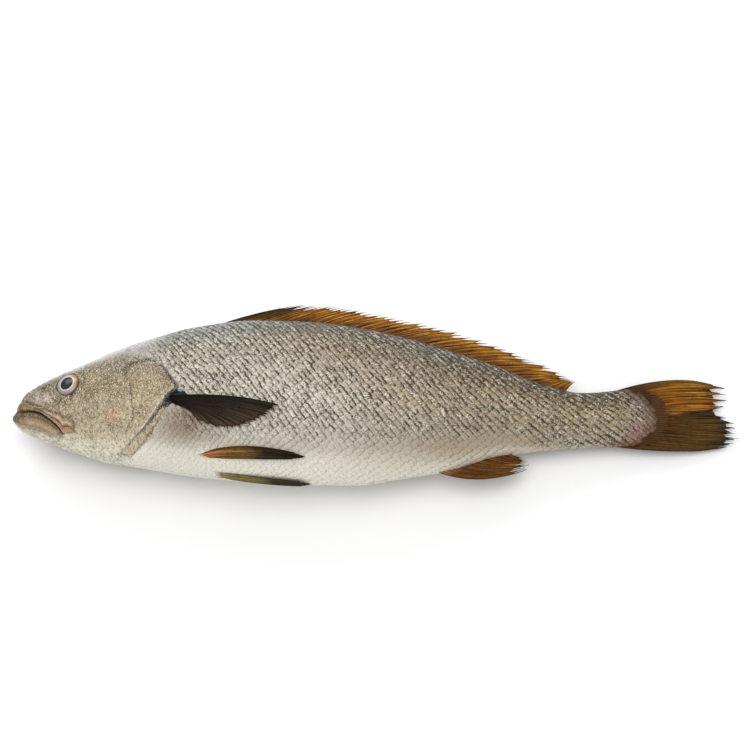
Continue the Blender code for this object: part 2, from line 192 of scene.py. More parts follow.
def body_point(s, turn):
    """The bare body at s, turn 0 on the back and 1 under the belly. In front, 0.5 is on the mouth's slit."""
    top, bottom, half, widest, power = section(s)
    low = np.maximum(widest - bottom, 0.01)
    drop = np.clip((widest - curve(s, SLIT)) / low, 0.0, 1.0) ** (power / 2)
    lean = np.arcsin(drop) * (1 - ease((s - SLIT_END) / 70))
    angle = np.pi * turn + lean * np.sin(np.pi * turn)
    up = np.cos(angle)
    height = np.where(up > 0, top - widest, widest - bottom)
    v = widest + height * np.sign(up) * np.abs(up) ** (2 / power)
    w = half * np.abs(np.sin(angle)) ** (2 / power)
    return v, w


def setback(s, v):
    """How far the upper jaw is set back at the front."""
    return JAW_SETBACK * ease((v - curve(s, SLIT)) / 1.6) * np.clip(1 - s / SETBACK_LENGTH, 0, 1) ** 2


def mouth_place(s, v):
    """Height over the mouth's slit, and how far the upper jaw and the lower lip reach from the slit."""
    return v - curve(s, SLIT), curve(s, UPPER_JAW), curve(s, LOWER_LIP)


UPPER_LIP_RISE, LOWER_LIP_RISE = 1.7, 1.5
SLIT_DEPTH = 3.2
LIP_GROOVE = 1.3
BONE_FOLD, LIP_FOLD = 0.8, 0.5


def mouth_relief(s, v):
    """Lips that stand out on both sides of a deep slit, and the jaw bone's groove over them."""
    away, upper, lower = mouth_place(s, v)
    in_jaw = 1 - ease((s - JAW_END) / 2)
    in_slit = 1 - ease((s - SLIT_END) / 4)
    upper_lip = UPPER_LIP_RISE * np.clip(1 - np.abs(2 * away / upper - 1) ** 2.6, 0, 1) ** 0.6 * in_jaw
    lower_lip = LOWER_LIP_RISE * np.clip(1 - np.abs(2 * away / lower + 1) ** 2.4, 0, 1) ** 0.6 * in_slit
    slit = -SLIT_DEPTH * hump(away, 0.6) * in_slit * ease((s + 1) / 9)
    fold = -BONE_FOLD * hump(away - 0.46 * upper, 0.7) * ease((s - 12) / 10) * in_jaw
    fold = fold - LIP_FOLD * hump(away - 0.78 * upper, 0.6) * ease((s - 26) / 10) * in_jaw
    fold = fold - LIP_FOLD * hump(away + 0.36 * lower, 0.8) * ease((s - 4) / 8) * in_slit
    over_jaw = hump(away - upper - 0.5, 1.0) * in_jaw
    under_lip = 0.5 * hump(away + lower + 0.5, 1.0) * in_slit
    lips = np.where(away > 0, upper_lip, lower_lip) * (0.3 + 0.7 * ease(s / 9))
    return lips + slit - LIP_GROOVE * (over_jaw + under_lip) + fold


BEHIND_COVER = 0.9
COVER_RIM = 0.35
THROAT_STEP = 0.7
CHEEK_STEP = 0.7
CREASE_DEPTH = 1.1


def gill_relief(s, v):
    """The gill cover, with its free edge over the flank, the throat membrane and the cheek's edge."""
    past = s - curve(v, GILL_EDGE)
    past_cheek = s - curve(v, CHEEK_EDGE)
    open_here = ease((v + 72) / 10) * ease((16 - v) / 12)
    cover = np.where(past < 0, COVER_LIFT * ease(1 + past / 45), -BEHIND_COVER * hump(past, 4.0))
    rim = COVER_RIM * hump(past + 1.6, 1.1) * (v < -15)
    throat = ease((-30 - v) / 8) * THROAT_STEP * ease((curve(v, THROAT_EDGE) - s) / 3) * (past >= 0)
    cheek = -CHEEK_STEP * hump(past_cheek, 1.5) + 0.5 * CHEEK_STEP * hump(past_cheek + 3.0, 2.0)
    cheek_here = ease((v + 62) / 6) * ease((8 - v) / 6)
    crease = -CREASE_DEPTH * hump(v - curve(s, GILL_CREASE), 1.1) * ease((s - 88) / 14) * ease((119 - s) / 3)
    return (cover + rim) * open_here + throat * ease((v + 72) / 6) + cheek * cheek_here + crease


def eye_distance(s, v, w):
    """Distance from the eye's middle, 1 at the socket's edge."""
    eye_w = half_width_at(np.array(EYE[0]), np.array(EYE[1]))
    return np.sqrt((s - EYE[0]) ** 2 + (v - EYE[1]) ** 2 + (w - eye_w) ** 2) / EYE_RADIUS


SOCKET_DEPTH = 3.4
SOCKET_RIM, SOCKET_GROOVE = 0.9, 0.7
EYE_FOLD = 0.8
NOSTRIL_DEPTH, NOSTRIL_RIM = 1.8, 0.4


def eye_relief(s, v, w):
    """The socket with its raised rim, the fold under it, and two nostril pits."""
    r = eye_distance(s, v, w)
    rim = SOCKET_RIM * hump(r - 1.02, 0.10) - SOCKET_GROOVE * hump(r - 1.27, 0.09)
    socket = rim - SOCKET_DEPTH * ease((0.94 - r) / 0.16)
    fold = -EYE_FOLD * hump(r - 1.62, 0.12) * ease((EYE[1] - 2 - v) / 6) * ease((52 - s) / 10)
    pits = 0
    for middle in NOSTRILS:
        pit_w = half_width_at(np.array(middle[0]), np.array(middle[1]))
        away = np.sqrt((s - middle[0]) ** 2 + (v - middle[1]) ** 2 + (w - pit_w) ** 2)
        pits = pits - NOSTRIL_DEPTH * hump(away, 1.2) + NOSTRIL_RIM * hump(away - 2.2, 0.8)
    return socket + fold + pits


def head_folds(s, v):
    """Shallow folds of loose skin on the snout, and the ridge from the nape to the gill opening."""
    snout = 0.25 * np.sin(s * 1.1 + v * 0.5) * hump(s - 18, 9) * ease((v + 22) / 8)
    nape = -0.5 * hump(v - 14 - 0.12 * (s - 60), 1.6) * ease((s - 60) / 12) * ease((104 - s) / 8)
    return snout + nape


def relief(s, v, w):
    return mouth_relief(s, v) + gill_relief(s, v) + eye_relief(s, v, w) + head_folds(s, v)


def lie_down(s, v, w, lowest=0.0):
    """World position in metres: the underside is pressed flat, no lower than lowest."""
    height = curve(s, REST_HEIGHT) + w - lowest
    soft = (height + PRESS_SOFTNESS) ** 2 / (4 * PRESS_SOFTNESS)
    pressed = np.where(height < -PRESS_SOFTNESS, 0.0, np.where(height > PRESS_SOFTNESS, height, soft))
    return np.stack((s - ORIGIN_S, v - ORIGIN_V, pressed + lowest), -1) * MM


def bare_body(s, turn):
    """Points s, v, w of the body without its fine relief."""
    v, w = body_point(s, turn)
    return np.stack((s + setback(s, v), v, w), -1)


def on_skin(s, turn, side, lift=0.0):
    """World position on the skin of one side (1 left, -1 right), lift millimetres over it."""
    inner = np.clip(turn, 0.004, 0.996)
    here = bare_body(s, turn)
    along = bare_body(s + 0.5, turn) - bare_body(np.maximum(s - 0.5, 0.0), turn)
    across = bare_body(s, inner + 0.004) - bare_body(s, inner - 0.004)
    normal = np.cross(across, along)
    normal /= np.maximum(np.linalg.norm(normal, axis=-1, keepdims=True), 1e-9)
    placed = here + normal * (relief(*np.moveaxis(here, -1, 0)) + lift)[..., None]
    w = np.where((turn <= 0) | (turn >= 1), 0.0, placed[..., 2])
    return lie_down(placed[..., 0], placed[..., 1], w * side, np.maximum(SKIN_GAP - lift, 0.0))


# Colours

def srgb(*levels):
    """A colour given as it looks on a screen, 0 to 255, in the linear values that materials use."""
    c = np.array(levels) / 255
    return np.where(c <= 0.04045, c / 12.92, ((c + 0.055) / 1.055) ** 2.4)


def wash(paint, colour, share):
    """Brings paint towards a colour where share is near 1."""
    return paint + (srgb(*colour) - paint) * np.clip(share, 0, 1)[..., None]


def blend_levels(level, stops):
    """The colour at a level of the body, between the stops (level, colour)."""
    knots = np.array([(place, *srgb(*colour)) for place, colour in stops])
    return np.stack([curve(level, knots[:, (0, i)]) for i in (1, 2, 3)], -1)


def body_level(s, v):
    """-1 under the belly, 0 on the widest line, 1 on the back."""
    top, bottom, half, widest, power = section(s)
    return (v - widest) / np.maximum(np.where(v > widest, top - widest, widest - bottom), 0.01)


# Ground colours of the front flank, the rear flank and the head, from the belly, -1, to the back, 1
FLANK_STOPS = (
    (-1.0, (238, 234, 218)), (-0.84, (235, 231, 216)), (-0.68, (204, 197, 183)), (-0.4, (188, 182, 168)),
    (0.0, (192, 184, 168)), (0.35, (180, 172, 156)), (0.62, (138, 127, 106)), (0.85, (82, 79, 66)),
    (1.0, (62, 60, 52)),
)
REAR_STOPS = (
    (-1.0, (196, 184, 156)), (-0.8, (172, 158, 132)), (-0.4, (160, 144, 115)), (0.1, (160, 142, 108)),
    (0.5, (112, 89, 50)), (0.8, (66, 52, 28)), (1.0, (48, 39, 24)),
)
# The head's stops lighten to the top: partly its grey skin, partly painted highlight along the top edge
HEAD_STOPS = (
    (-1.0, (240, 235, 216)), (-0.8, (212, 203, 178)), (-0.55, (172, 156, 127)), (-0.1, (154, 138, 109)),
    (0.35, (120, 105, 78)), (0.62, (112, 100, 82)), (0.8, (146, 141, 134)), (1.0, (186, 185, 183)),
)


# Soft marks: colour, share at the middle, middle (s, v) and reach along and up
FLANK_MARKS = (
    ((112, 84, 52), 0.9, (147, -45), (23, 18)),    # brown under the pectoral fin
    ((168, 148, 124), 0.5, (352, -58), (22, 8)),    # tan over the anal fin
)
SNOUT_AND_CHEEK_MARKS = (
    ((112, 92, 80), 0.8, (11, -12), (10, 8)),    # dark tip of the snout
    ((116, 98, 84), 0.65, (27, -4), (16, 6)),    # dark brow
    ((196, 184, 170), 0.6, (27, -20), (12, 5)),    # pale skin over the lip
    ((138, 112, 78), 0.5, (40, -26), (7, 5)),    # brown below the eye
    ((150, 134, 78), 0.75, (64, -5), (9, 7)),    # olive behind the eye
    ((176, 158, 116), 0.6, (112, -14), (14, 18)),    # yellow-olive gill cover
    ((172, 124, 82), 0.55, (86, -39), (7, 6)),    # rusty cheek
    ((120, 104, 92), 0.5, (92, 6), (24, 6)),    # dark upper cheek
    ((132, 114, 118), 0.6, (117, 1), (8, 8)),    # purple at the top of the gill opening
)
UPPER_HEAD_MARKS = (
    ((104, 88, 66), 0.45, (76, 2), (15, 9)),    # brown above the cheek
    ((118, 108, 98), 0.6, (98, 14), (14, 6)),    # grey in front of the nape
)
# Brown round each nostril, and painted shade deep in its pit
NOSTRIL_MARKS = tuple(
    mark for middle in NOSTRILS
    for mark in (((90, 72, 62), 0.6, middle, (5.0, 3.2)), ((34, 24, 20), 1.0, middle, (2.0, 1.5)))
)
# A painted sheen: the pale highlight washed over the nape
PAINTED_SHEEN = (206, 207, 208)
CREST = (106, 99, 84)


def dab(paint, s, v, marks):
    """Washes a row of soft marks over paint."""
    for colour, share, middle, reach in marks:
        paint = wash(paint, colour, share * spot(s, v, middle, reach))
    return paint


def flank_pigment(s, v):
    """Pale belly, grey-olive back, browner to the tail, and brown at the tail's scaled base; a painted sheen
    on the nape, and blue-grey on the front of the back that is partly painted sheen.
    """
    level = body_level(s, v)
    paint = blend_levels(level, FLANK_STOPS)
    rear = ease((s - 225) / 190) * ease((level + 1.1 + 0.3 * ease((s - 400) / 70)) / 0.3)
    paint = paint + (blend_levels(level, REAR_STOPS) - paint) * rear[..., None]
    nape = ease((140 - s) / 34)
    # blue-grey over the front of the back: partly its own tint, partly painted sheen
    paint = wash(paint, (152, 158, 160), 0.6 * ease((level - 0.5) / 0.3) * hump(s - 162, 46))
    paint = wash(paint, (164, 160, 153), 0.8 * ease((level - 0.25) / 0.4) * nape)
    # painted sheen, a pale highlight on the nape
    paint = wash(paint, PAINTED_SHEEN, 0.7 * ease((level - 0.7) / 0.25) * nape)
    paint = wash(paint, CREST, 0.75 * ease((level - 0.96) / 0.03) * nape)
    paint = wash(paint, (150, 122, 88), 0.40 * hump(s - 262, 42) * hump(level - 0.5, 0.3))
    paint = wash(paint, (158, 128, 92), 0.30 * hump(s - 315, 40) * hump(level - 0.1, 0.3))
    return tail_base_pigment(dab(paint, s, v, FLANK_MARKS), s, v)


def scaled_end(v):
    """Where the scaled base of the tail ends, an arc that bulges back."""
    return 533 - 25 * np.minimum(np.abs(v + 24) / 26, 1.15) ** 2


STRIPE_GAP = 1.8


def tail_base_pigment(paint, s, v):
    """Brown and pink to the end of the scales, then dark with fine stripes that lead into the fin's rays."""
    from_end = s - scaled_end(v)
    paint = wash(paint, (98, 64, 36), 0.85 * ease((from_end + 24) / 20))
    paint = wash(paint, (160, 140, 132), 0.5 * spot(s, v, (516, -16), (8, 9)))
    paint = wash(paint, (118, 76, 36), 0.8 * ease((s - 470) / 30) * ease((-40 - v) / 6))
    paint = wash(paint, (150, 100, 104), 0.7 * spot(s, v, (515, -36), (9, 7)))
    paint = wash(paint, (50, 26, 4), ease((from_end + 5) / 8))
    stripes = 0.5 + 0.5 * np.sin(2 * np.pi * (v + 24) / (STRIPE_GAP + 0.004 * (s - 512)))
    bare = 0.5 * ease((from_end + 2) / 6)
    paint = wash(paint, (116, 74, 22), bare * stripes)
    return wash(paint, (36, 20, 6), bare * (1 - stripes))


LIP_OLIVE, LIP_SHADE = (132, 106, 58), (84, 62, 32)
BONE_PINK, BONE_LIGHT = (152, 116, 86), (206, 178, 150)
LIP_BROWN, LIP_LIGHT, LIP_TIP = (128, 98, 64), (196, 166, 136), (74, 52, 22)
JAW_SHADOW = (70, 46, 34)


def mouth_pigment(paint, s, v):
    """Olive front lip, pink-brown jaw bone with its folds, the brown lower lip, and painted shade in the
    slit.
    """
    away, upper, lower = mouth_place(s, v)
    in_jaw = 1 - ease((s - JAW_END) / 2)
    in_slit = 1 - ease((s - SLIT_END) / 3)
    upper_lip = ease(away / 0.8) * ease((upper - away) / 0.8) * in_jaw
    bone = upper_lip * ease((s - 24) / 14)
    paint = wash(paint, LIP_OLIVE, 0.95 * upper_lip)
    paint = wash(paint, LIP_SHADE, 0.85 * upper_lip * ease((13 - s) / 7))
    paint = wash(paint, BONE_PINK, 0.95 * bone)
    paint = wash(paint, BONE_LIGHT, 0.6 * bone * hump(away - 0.70 * upper, 1.1))
    paint = wash(paint, BONE_LIGHT, 0.4 * bone * hump(away - 0.22 * upper, 0.9))
    lower_lip = ease(-away / 0.8) * ease((lower + away) / 2.5) * in_slit
    paint = wash(paint, LIP_BROWN, 0.95 * lower_lip)
    paint = wash(paint, LIP_LIGHT, 0.8 * lower_lip * hump(away + 0.66 * lower, 2.2) * ease((s - 6) / 8))
    paint = wash(paint, LIP_SHADE, 0.85 * in_slit * hump(away + 2.0, 2.4) * (away < 0))
    paint = wash(paint, LIP_TIP, 0.85 * lower_lip * ease((10 - s) / 7))
    paint = wash(paint, LIP_SHADE, 0.85 * hump(away - 0.46 * upper, 0.75) * ease((s - 12) / 10) * in_jaw)
    paint = wash(paint, JAW_SHADOW, 0.9 * hump(away - upper, 0.9) * in_jaw)
    paint = wash(paint, (122, 90, 66), 0.6 * hump(away + lower, 1.2) * in_slit)
    jaw_end = hump(s - JAW_END - 0.3, 0.9) * ease(away / 1.5) * ease((upper + 1 - away) / 2)
    paint = wash(paint, JAW_SHADOW, 0.8 * jaw_end)
    # painted shade in the slit between the lips
    return wash(paint, (36, 24, 16), hump(away, 1.0) * in_slit)


def eye_ring_pigment(paint, s, v, w):
    """The dark rim of the socket, a pale ring round it, and painted shade in the groove and the fold under
    the eye.
    """
    r = eye_distance(s, v, w)
    paint = wash(paint, (92, 76, 60), 0.6 * hump(r - 1.1, 0.3))
    paint = wash(paint, (76, 62, 52), 0.95 * hump(r - 1.0, 0.13))
    paint = wash(paint, (176, 158, 128), 0.4 * hump(r - 1.17, 0.06))
    # painted shade in the groove under the eye
    paint = wash(paint, (60, 48, 42), 0.8 * hump(r - 1.29, 0.05) * ease((v + 12) / -4 + 1.6))
    under_eye = ease((EYE[1] + 3 - v) / 4) * ease((54 - s) / 8)
    # painted shade in the fold under the eye
    return wash(paint, (66, 50, 42), 0.75 * hump(r - 1.62, 0.09) * under_eye)


def head_pigment(s, v, w):
    """The head: pale throat, olive cheek, a painted sheen on the nape with a dark crest, mouth, eye ring and
    nostrils.
    """
    level = body_level(s, v)
    paint = blend_levels(level, HEAD_STOPS)
    paint = wash(paint, (208, 200, 180), 0.7 * ease((curve(s, SLIT) - v - 8) / 6) * ease((76 - s) / 20))
    paint = dab(paint, s, v, SNOUT_AND_CHEEK_MARKS)
    # painted sheen, a pale highlight on the nape
    paint = wash(paint, PAINTED_SHEEN, 0.7 * ease((level - 0.72) / 0.2) * ease((s - 30) / 30))
    paint = wash(paint, CREST, 0.75 * ease((level - 0.96) / 0.03) * ease((s - 20) / 20))
    paint = dab(paint, s, v, UPPER_HEAD_MARKS)
    edge = hump(s - curve(v, CHEEK_EDGE), 0.8) * ease((v + 50) / 8) * ease((4 - v) / 6)
    paint = wash(paint, (70, 52, 38), 0.85 * edge)
    paint = eye_ring_pigment(mouth_pigment(paint, s, v), s, v, w)
    return dab(paint, s, v, NOSTRIL_MARKS)


def past_head(s, v):
    """How far behind the gill opening a place is, or above it behind the nape's first scales."""
    nape = ease((v - 12) / 8)
    return (s - curve(v, GILL_EDGE)) * (1 - nape) + (s - 96 + 0.3 * (v - 14)) * nape


def behind_head(s, v):
    """0 on the head, 1 on the flank: sharp at the gill opening, gradual on the nape."""
    nape = ease((v - 8) / 8)
    return ease(past_head(s, v) / 2.0) * (1 - nape) + ease((past_head(s, v) + 9) / 18) * nape


def in_axil(s, v):
    """The bare wedge over the root of the pectoral fin."""
    return (s < 153) & (v > -34) & (v < -16.8 - 0.52 * (s - 137))


def gill_pigment(paint, s, v):
    """The throat membrane, the cover's pale rim, painted shade in the gap behind it and in the crease above.
    """
    past = s - curve(v, GILL_EDGE)
    past_throat = s - curve(v, THROAT_EDGE)
    low = ease((-28 - v) / 4) * ease((v + 72) / 8)
    band = low * (past > 0) * ease(-past_throat / 1.2)
    paint = wash(paint, (186, 170, 142), 0.8 * band)
    paint = wash(paint, (148, 108, 56), 0.75 * band * hump(past_throat, 3.2))
    paint = wash(paint, (112, 78, 40), 0.7 * low * hump(past_throat + 0.3, 0.9))
    rim = hump(past + 1.3, 0.8) * ease((-15 - v) / 3) * ease((v + 60) / 10)
    paint = wash(paint, (236, 224, 210), 0.8 * rim)
    # painted shade in the gap behind the cover's free edge
    opening = hump(past - 0.9, 1.7) * ease((v + 62) / 20) * ease((11 - v) / 3)
    paint = wash(paint, (40, 26, 24), 0.97 * opening)
    paint = wash(paint, (110, 84, 82), 0.5 * hump(past + 4, 5) * ease((v + 14) / 8) * ease((9 - v) / 3))
    # painted shade in the crease over the gill opening
    crease = hump(v - curve(s, GILL_CREASE), 2.0) * ease((s - 84) / 20) * ease((122 - s) / 3)
    paint = wash(paint, (44, 30, 30), 0.95 * crease)
    axil = in_axil(s, v) * ease((past - 0.2) / 1.0)
    paint = wash(paint, (4, 26, 38), axil)
    return wash(paint, (4, 5, 8), axil * ease((s - 141) / 5))


def skin_pigment(s, v, w):
    """The skin's colour before its speckles: head in front of the gill opening, dark beneath the scales."""
    shade = 0.3 * ease((body_level(s, v) + 0.85) / 0.3) * (s < 530) * ease((s - 100) / 30)
    under_scales = flank_pigment(s, v) * (1 - shade)[..., None]
    paint = head_pigment(s, v, w)
    paint = paint + (under_scales - paint) * behind_head(s, v)[..., None]
    return gill_pigment(paint, s, v)


# Material nodes written as expressions

class Flow:
    """A socket's value in a material. Arithmetic on it adds the nodes that work it out."""

    def __init__(self, finish, socket):
        self.finish, self.socket = finish, socket

    def maths(self, operation, *terms):
        values = dict(enumerate(terms))
        return self.finish.node("ShaderNodeMath", {"operation": operation}, values)

    def __add__(self, other):
        return self.maths("ADD", self, other)

    __radd__ = __add__

    def __sub__(self, other):
        return self.maths("SUBTRACT", self, other)

    def __rsub__(self, other):
        return self.maths("SUBTRACT", other, self)

    def __mul__(self, other):
        return self.maths("MULTIPLY", self, other)

    __rmul__ = __mul__

    def __truediv__(self, other):
        return self.maths("DIVIDE", self, other)

    def __pow__(self, other):
        return self.maths("POWER", self, other)

    def size(self):
        return self.maths("ABSOLUTE", self)

    def below(self, other):
        return self.maths("MINIMUM", self, other)

    def wave(self):
        return self.maths("SINE", self)

    def span(self, low, high, low_to=0.0, high_to=1.0):
        """Smoothly takes low..high to low_to..high_to."""
        values = {"Value": self, "From Min": low, "From Max": high, "To Min": low_to, "To Max": high_to}
        return self.finish.node("ShaderNodeMapRange", {"interpolation_type": "SMOOTHSTEP"}, values)


class Finish:
    """A material while it is being made, round its Principled shader."""

    def __init__(self, name, **constants):
        self.material = bpy.data.materials.new(name)
        self.material.use_nodes = True
        self.tree = self.material.node_tree
        self.shader = self.tree.nodes["Principled BSDF"]
        for socket, value in constants.items():
            self.shader.inputs[socket.replace("_", " ")].default_value = value

    def node(self, kind, settings=None, values=None, output=0):
        made = self.tree.nodes.new(kind)
        for key, value in (settings or {}).items():
            setattr(made, key, value)
        for key, value in (values or {}).items():
            self.feed(made.inputs[key], value)
        return Flow(self, made.outputs[output])

    def feed(self, socket, value):
        if isinstance(value, Flow):
            self.tree.links.new(value.socket, socket)
        elif isinstance(value, (tuple, list, np.ndarray)) and socket.type == "RGBA":
            socket.default_value = (*[float(x) for x in value[:3]], 1.0)
        else:
            socket.default_value = value

    def set(self, **inputs):
        for socket, value in inputs.items():
            self.feed(self.shader.inputs[socket.replace("_", " ")], value)

    def place(self):
        return self.node("ShaderNodeTexCoord", output="Object")

    def attribute(self, name, output="Fac"):
        """A mark that the mesh carries on its vertices: a number, or with output a colour or vector."""
        return self.node("ShaderNodeAttribute", {"attribute_name": name}, output=output)

    def parts(self, vector):
        split = self.node("ShaderNodeSeparateXYZ", values={0: vector})
        return [Flow(self, split.socket.node.outputs[axis]) for axis in range(3)]

    def stretch(self, vector, scale):
        return self.node("ShaderNodeMapping", values={"Vector": vector, "Scale": scale})

    def grain(self, vector, scale, detail=2.0, roughness=0.5):
        """Noise, mostly between 0.3 and 0.7, with scale grains to a metre."""
        values = {"Vector": vector, "Scale": scale, "Detail": detail, "Roughness": roughness}
        return self.node("ShaderNodeTexNoise", values=values)

    def cells(self, vector, scale):
        return self.node("ShaderNodeTexVoronoi", values={"Vector": vector, "Scale": scale})

    def mix(self, first, second, share):
        """first where share is 0, second where it is 1."""
        return self.node("ShaderNodeMix", {"data_type": "RGBA"}, {0: share, 6: first, 7: second}, output=2)

    def bumped(self, height, distance, strength=1.0):
        values = {"Height": height, "Distance": distance, "Strength": strength}
        return self.node("ShaderNodeBump", values=values)


BLACK = (0.0, 0.0, 0.0)


def skin_finish():
    """Bare wet skin: painted ground, dense dark and light speckles, small head scales as fine relief."""
    finish = Finish("wet_skin", Coat_Roughness=0.2, IOR=1.4, Specular_IOR_Level=0.25)
    place = finish.place()
    paint = finish.attribute("pigment", "Color")
    bare = finish.attribute("bare")
    patches = finish.grain(place, 70, 3, 0.6)
    freckles = finish.grain(finish.stretch(place, (1.5, 0.8, 1.0)), 290, 4, 0.7)
    speckles = finish.grain(finish.stretch(place, (1.3, 0.8, 1.0)), 560, 3, 0.7)
    fine = finish.grain(finish.stretch(place, (1.0, 0.7, 1.0)), 1250, 2, 0.7)
    colour = finish.mix(paint, BLACK, patches.span(0.36, 0.64, 0.3, 0.0))
    colour = finish.mix(colour, srgb(88, 68, 46), freckles.span(0.50, 0.62, 0.0, 0.55) * bare)
    colour = finish.mix(colour, srgb(66, 48, 34), speckles.span(0.51, 0.62, 0.0, 0.5) * bare)
    colour = finish.mix(colour, srgb(236, 228, 206), fine.span(0.52, 0.66, 0.0, 0.55) * bare)
    colour = finish.mix(colour, srgb(228, 216, 190), freckles.span(0.36, 0.47, 0.28, 0.0) * bare)
    small_scales = finish.cells(finish.stretch(place, (1.0, 0.8, 1.0)), 420)
    height = small_scales * 0.6 + speckles * 0.6 + fine * 0.4
    wet = patches.span(0.3, 0.7, 0.15, 0.4) * finish.parts(paint)[1].span(0.01, 0.15)
    finish.set(Base_Color=colour, Roughness=speckles.span(0.3, 0.7, 0.36, 0.55), Metallic=bare * 0.08,
               Coat_Weight=wet, Normal=finish.bumped(height, 0.0005, 0.7))
    return finish.material


def scale_finish():
    """Silvery plates with a dark upper hind edge, a light middle that is partly painted highlight, and fine
    growth rings.

    The plate mark holds the place across and along the scale, and the scale's own tone.
    """
    finish = Finish("silver_scales", Coat_Roughness=0.2, IOR=1.4, Specular_IOR_Level=0.3)
    across, along, tone = finish.parts(finish.attribute("plate", "Vector"))
    edge = finish.attribute("edge")
    lateral = finish.attribute("lateral")
    paint = finish.attribute("pigment", "Color")
    place = finish.place()
    fine = finish.grain(place, 850, 3, 0.7)
    broken = finish.grain(place, 260, 2, 0.6)
    patches = finish.grain(place, 50, 2, 0.6)
    from_edge = (1 - along) * (1 - across * across) + (fine - 0.5) * 0.55
    width = across.span(-0.45, 0.4, 0.0, 0.42)
    rim = from_edge.span(width * 0.2, width * 1.2 + 0.01, 1.0, 0.0) * across.span(-0.6, 0.05)
    rim = rim * across.span(0.6, 0.95, 1.0, 0.4)
    tip = along.span(0.75, 0.98) * (1 - across.size().span(0.05, 0.32))
    pores = lateral * (1 - across.size().span(0.05, 0.25)) * along.span(0.2, 0.6)
    strength = edge * patches.span(0.35, 0.65, 0.65, 1.2) * broken.span(0.38, 0.54, 0.1, 1.0)
    dark = (rim * strength * 0.9 + tip * strength * 0.5 + pores * 0.5).below(1.0)
    # light middle of each scale: partly its own silver, partly painted highlight
    pale_and_highlight = (1 - along * 0.4) * (1 - rim) * broken.span(0.40, 0.58, 0.42, 0.05)
    clouds = finish.grain(place, 120, 3, 0.65)
    shade = tone.span(-1.0, 1.0, 0.22, 0.04) + clouds.span(0.46, 0.62, 0.0, 0.22) * edge
    colour = finish.mix(paint, BLACK, shade)
    colour = finish.mix(colour, srgb(226, 220, 202), pale_and_highlight * edge)
    colour = finish.mix(colour, srgb(40, 32, 22), fine.span(0.48, 0.61, 0.0, 0.7) * (edge * 0.7 + 0.3))
    colour = finish.mix(colour, srgb(236, 232, 220), fine.span(0.33, 0.46, 0.38, 0.0) * edge)
    colour = finish.mix(colour, srgb(56, 43, 26), dark * 0.92)
    height = (along * 60 + fine * 3).wave() * 0.15 + fine
    finish.set(Base_Color=colour, Roughness=dark.span(0.0, 1.0, 0.36, 0.55), Metallic=(1 - dark) * 0.15,
               Coat_Weight=0.15, Normal=finish.bumped(height, 0.0002, 0.6))
    return finish.material


def fin_finish():
    """Wet fin membrane over rays: streaks and short joints that follow the rays, and a painted glow of light
    through the thin webs.

    The ray mark holds the number of rays passed, the place along them, and 1 on the web between two.
    """
    finish = Finish("fin_membrane", Coat_Roughness=0.2, IOR=1.4, Specular_IOR_Level=0.15)
    ray, along, web = finish.parts(finish.attribute("ray", "Vector"))
    paint = finish.attribute("pigment", "Color")
    place = finish.place()
    drawn = finish.node("ShaderNodeCombineXYZ", values={0: ray * 3.4, 1: along * 1.8, 2: 0.0})
    streaks = finish.grain(drawn, 1.0, 4, 0.65)
    joints = (along * 190 + streaks * 4).wave()
    blotches = finish.grain(place, 300, 3, 0.65)
    colour = finish.mix(paint, BLACK, streaks.span(0.50, 0.62, 0.0, 0.8))
    # painted glow: light shining through the thin webs, painted as bright amber
    painted_glow = finish.mix(paint, srgb(255, 200, 92), finish.parts(paint)[1].span(0.02, 0.14, 0.06, 0.75))
    colour = finish.mix(colour, painted_glow, streaks.span(0.36, 0.49, 0.95, 0.0) * web.span(0.2, 0.6))
    colour = finish.mix(colour, BLACK, blotches.span(0.5, 0.7, 0.0, 0.4))
    height = streaks * 0.8 + joints * 0.2 * (1 - web)
    finish.set(Base_Color=colour, Roughness=streaks.span(0.3, 0.7, 0.4, 0.6), Coat_Weight=0.08,
               Normal=finish.bumped(height, 0.0003, 0.6))
    return finish.material


PUPIL_TILT = 25.0
PUPIL_OVAL = (1.06, 0.96)


def eye_finish():
    """Blue-black pupil with a painted bluish reflection, in a silver iris that is golden behind, under a
    clear wet cornea.

    The iris mark holds the place forward and up from the eye's middle, in millimetres.
    """
    finish = Finish("eye", Coat_Roughness=0.08, IOR=1.4, Specular_IOR_Level=0.3)
    forward, upward, _ = finish.parts(finish.attribute("iris", "Vector"))
    place = finish.place()
    fine = finish.grain(place, 1500, 2, 0.6)
    tilt = math.radians(PUPIL_TILT)
    long_way = forward * math.sin(tilt) + upward * math.cos(tilt)
    short_way = forward * math.cos(tilt) - upward * math.sin(tilt)
    r = ((long_way / PUPIL_OVAL[0]) ** 2 + (short_way / PUPIL_OVAL[1]) ** 2) ** 0.5
    iris = finish.mix(srgb(150, 140, 132), srgb(158, 124, 70), (forward + fine * 2).span(2.5, 9.0))
    iris = finish.mix(iris, srgb(208, 200, 190), (r + fine * 0.6).span(6.3, 7.6, 0.8, 0.0))
    iris = finish.mix(iris, srgb(66, 52, 42), (r + fine * 1.5).span(8.9, 10.6, 0.0, 0.97))
    colour = finish.mix(srgb(14, 19, 30), iris, (r + fine * 0.4).span(5.6, 6.2))
    # painted reflection: a bluish sheen, strongest low in the pupil
    painted_reflection = (r + upward).span(-2.0, 2.5, 0.7, 0.0) * (1 - r.span(4.6, 5.6))
    colour = finish.mix(colour, srgb(34, 46, 66), painted_reflection)
    finish.set(Base_Color=colour, Roughness=r.span(4.8, 6.4, 0.2, 0.35), Metallic=r.span(5.6, 6.3, 0.0, 0.25),
               Coat_Weight=0.35)
    return finish.material


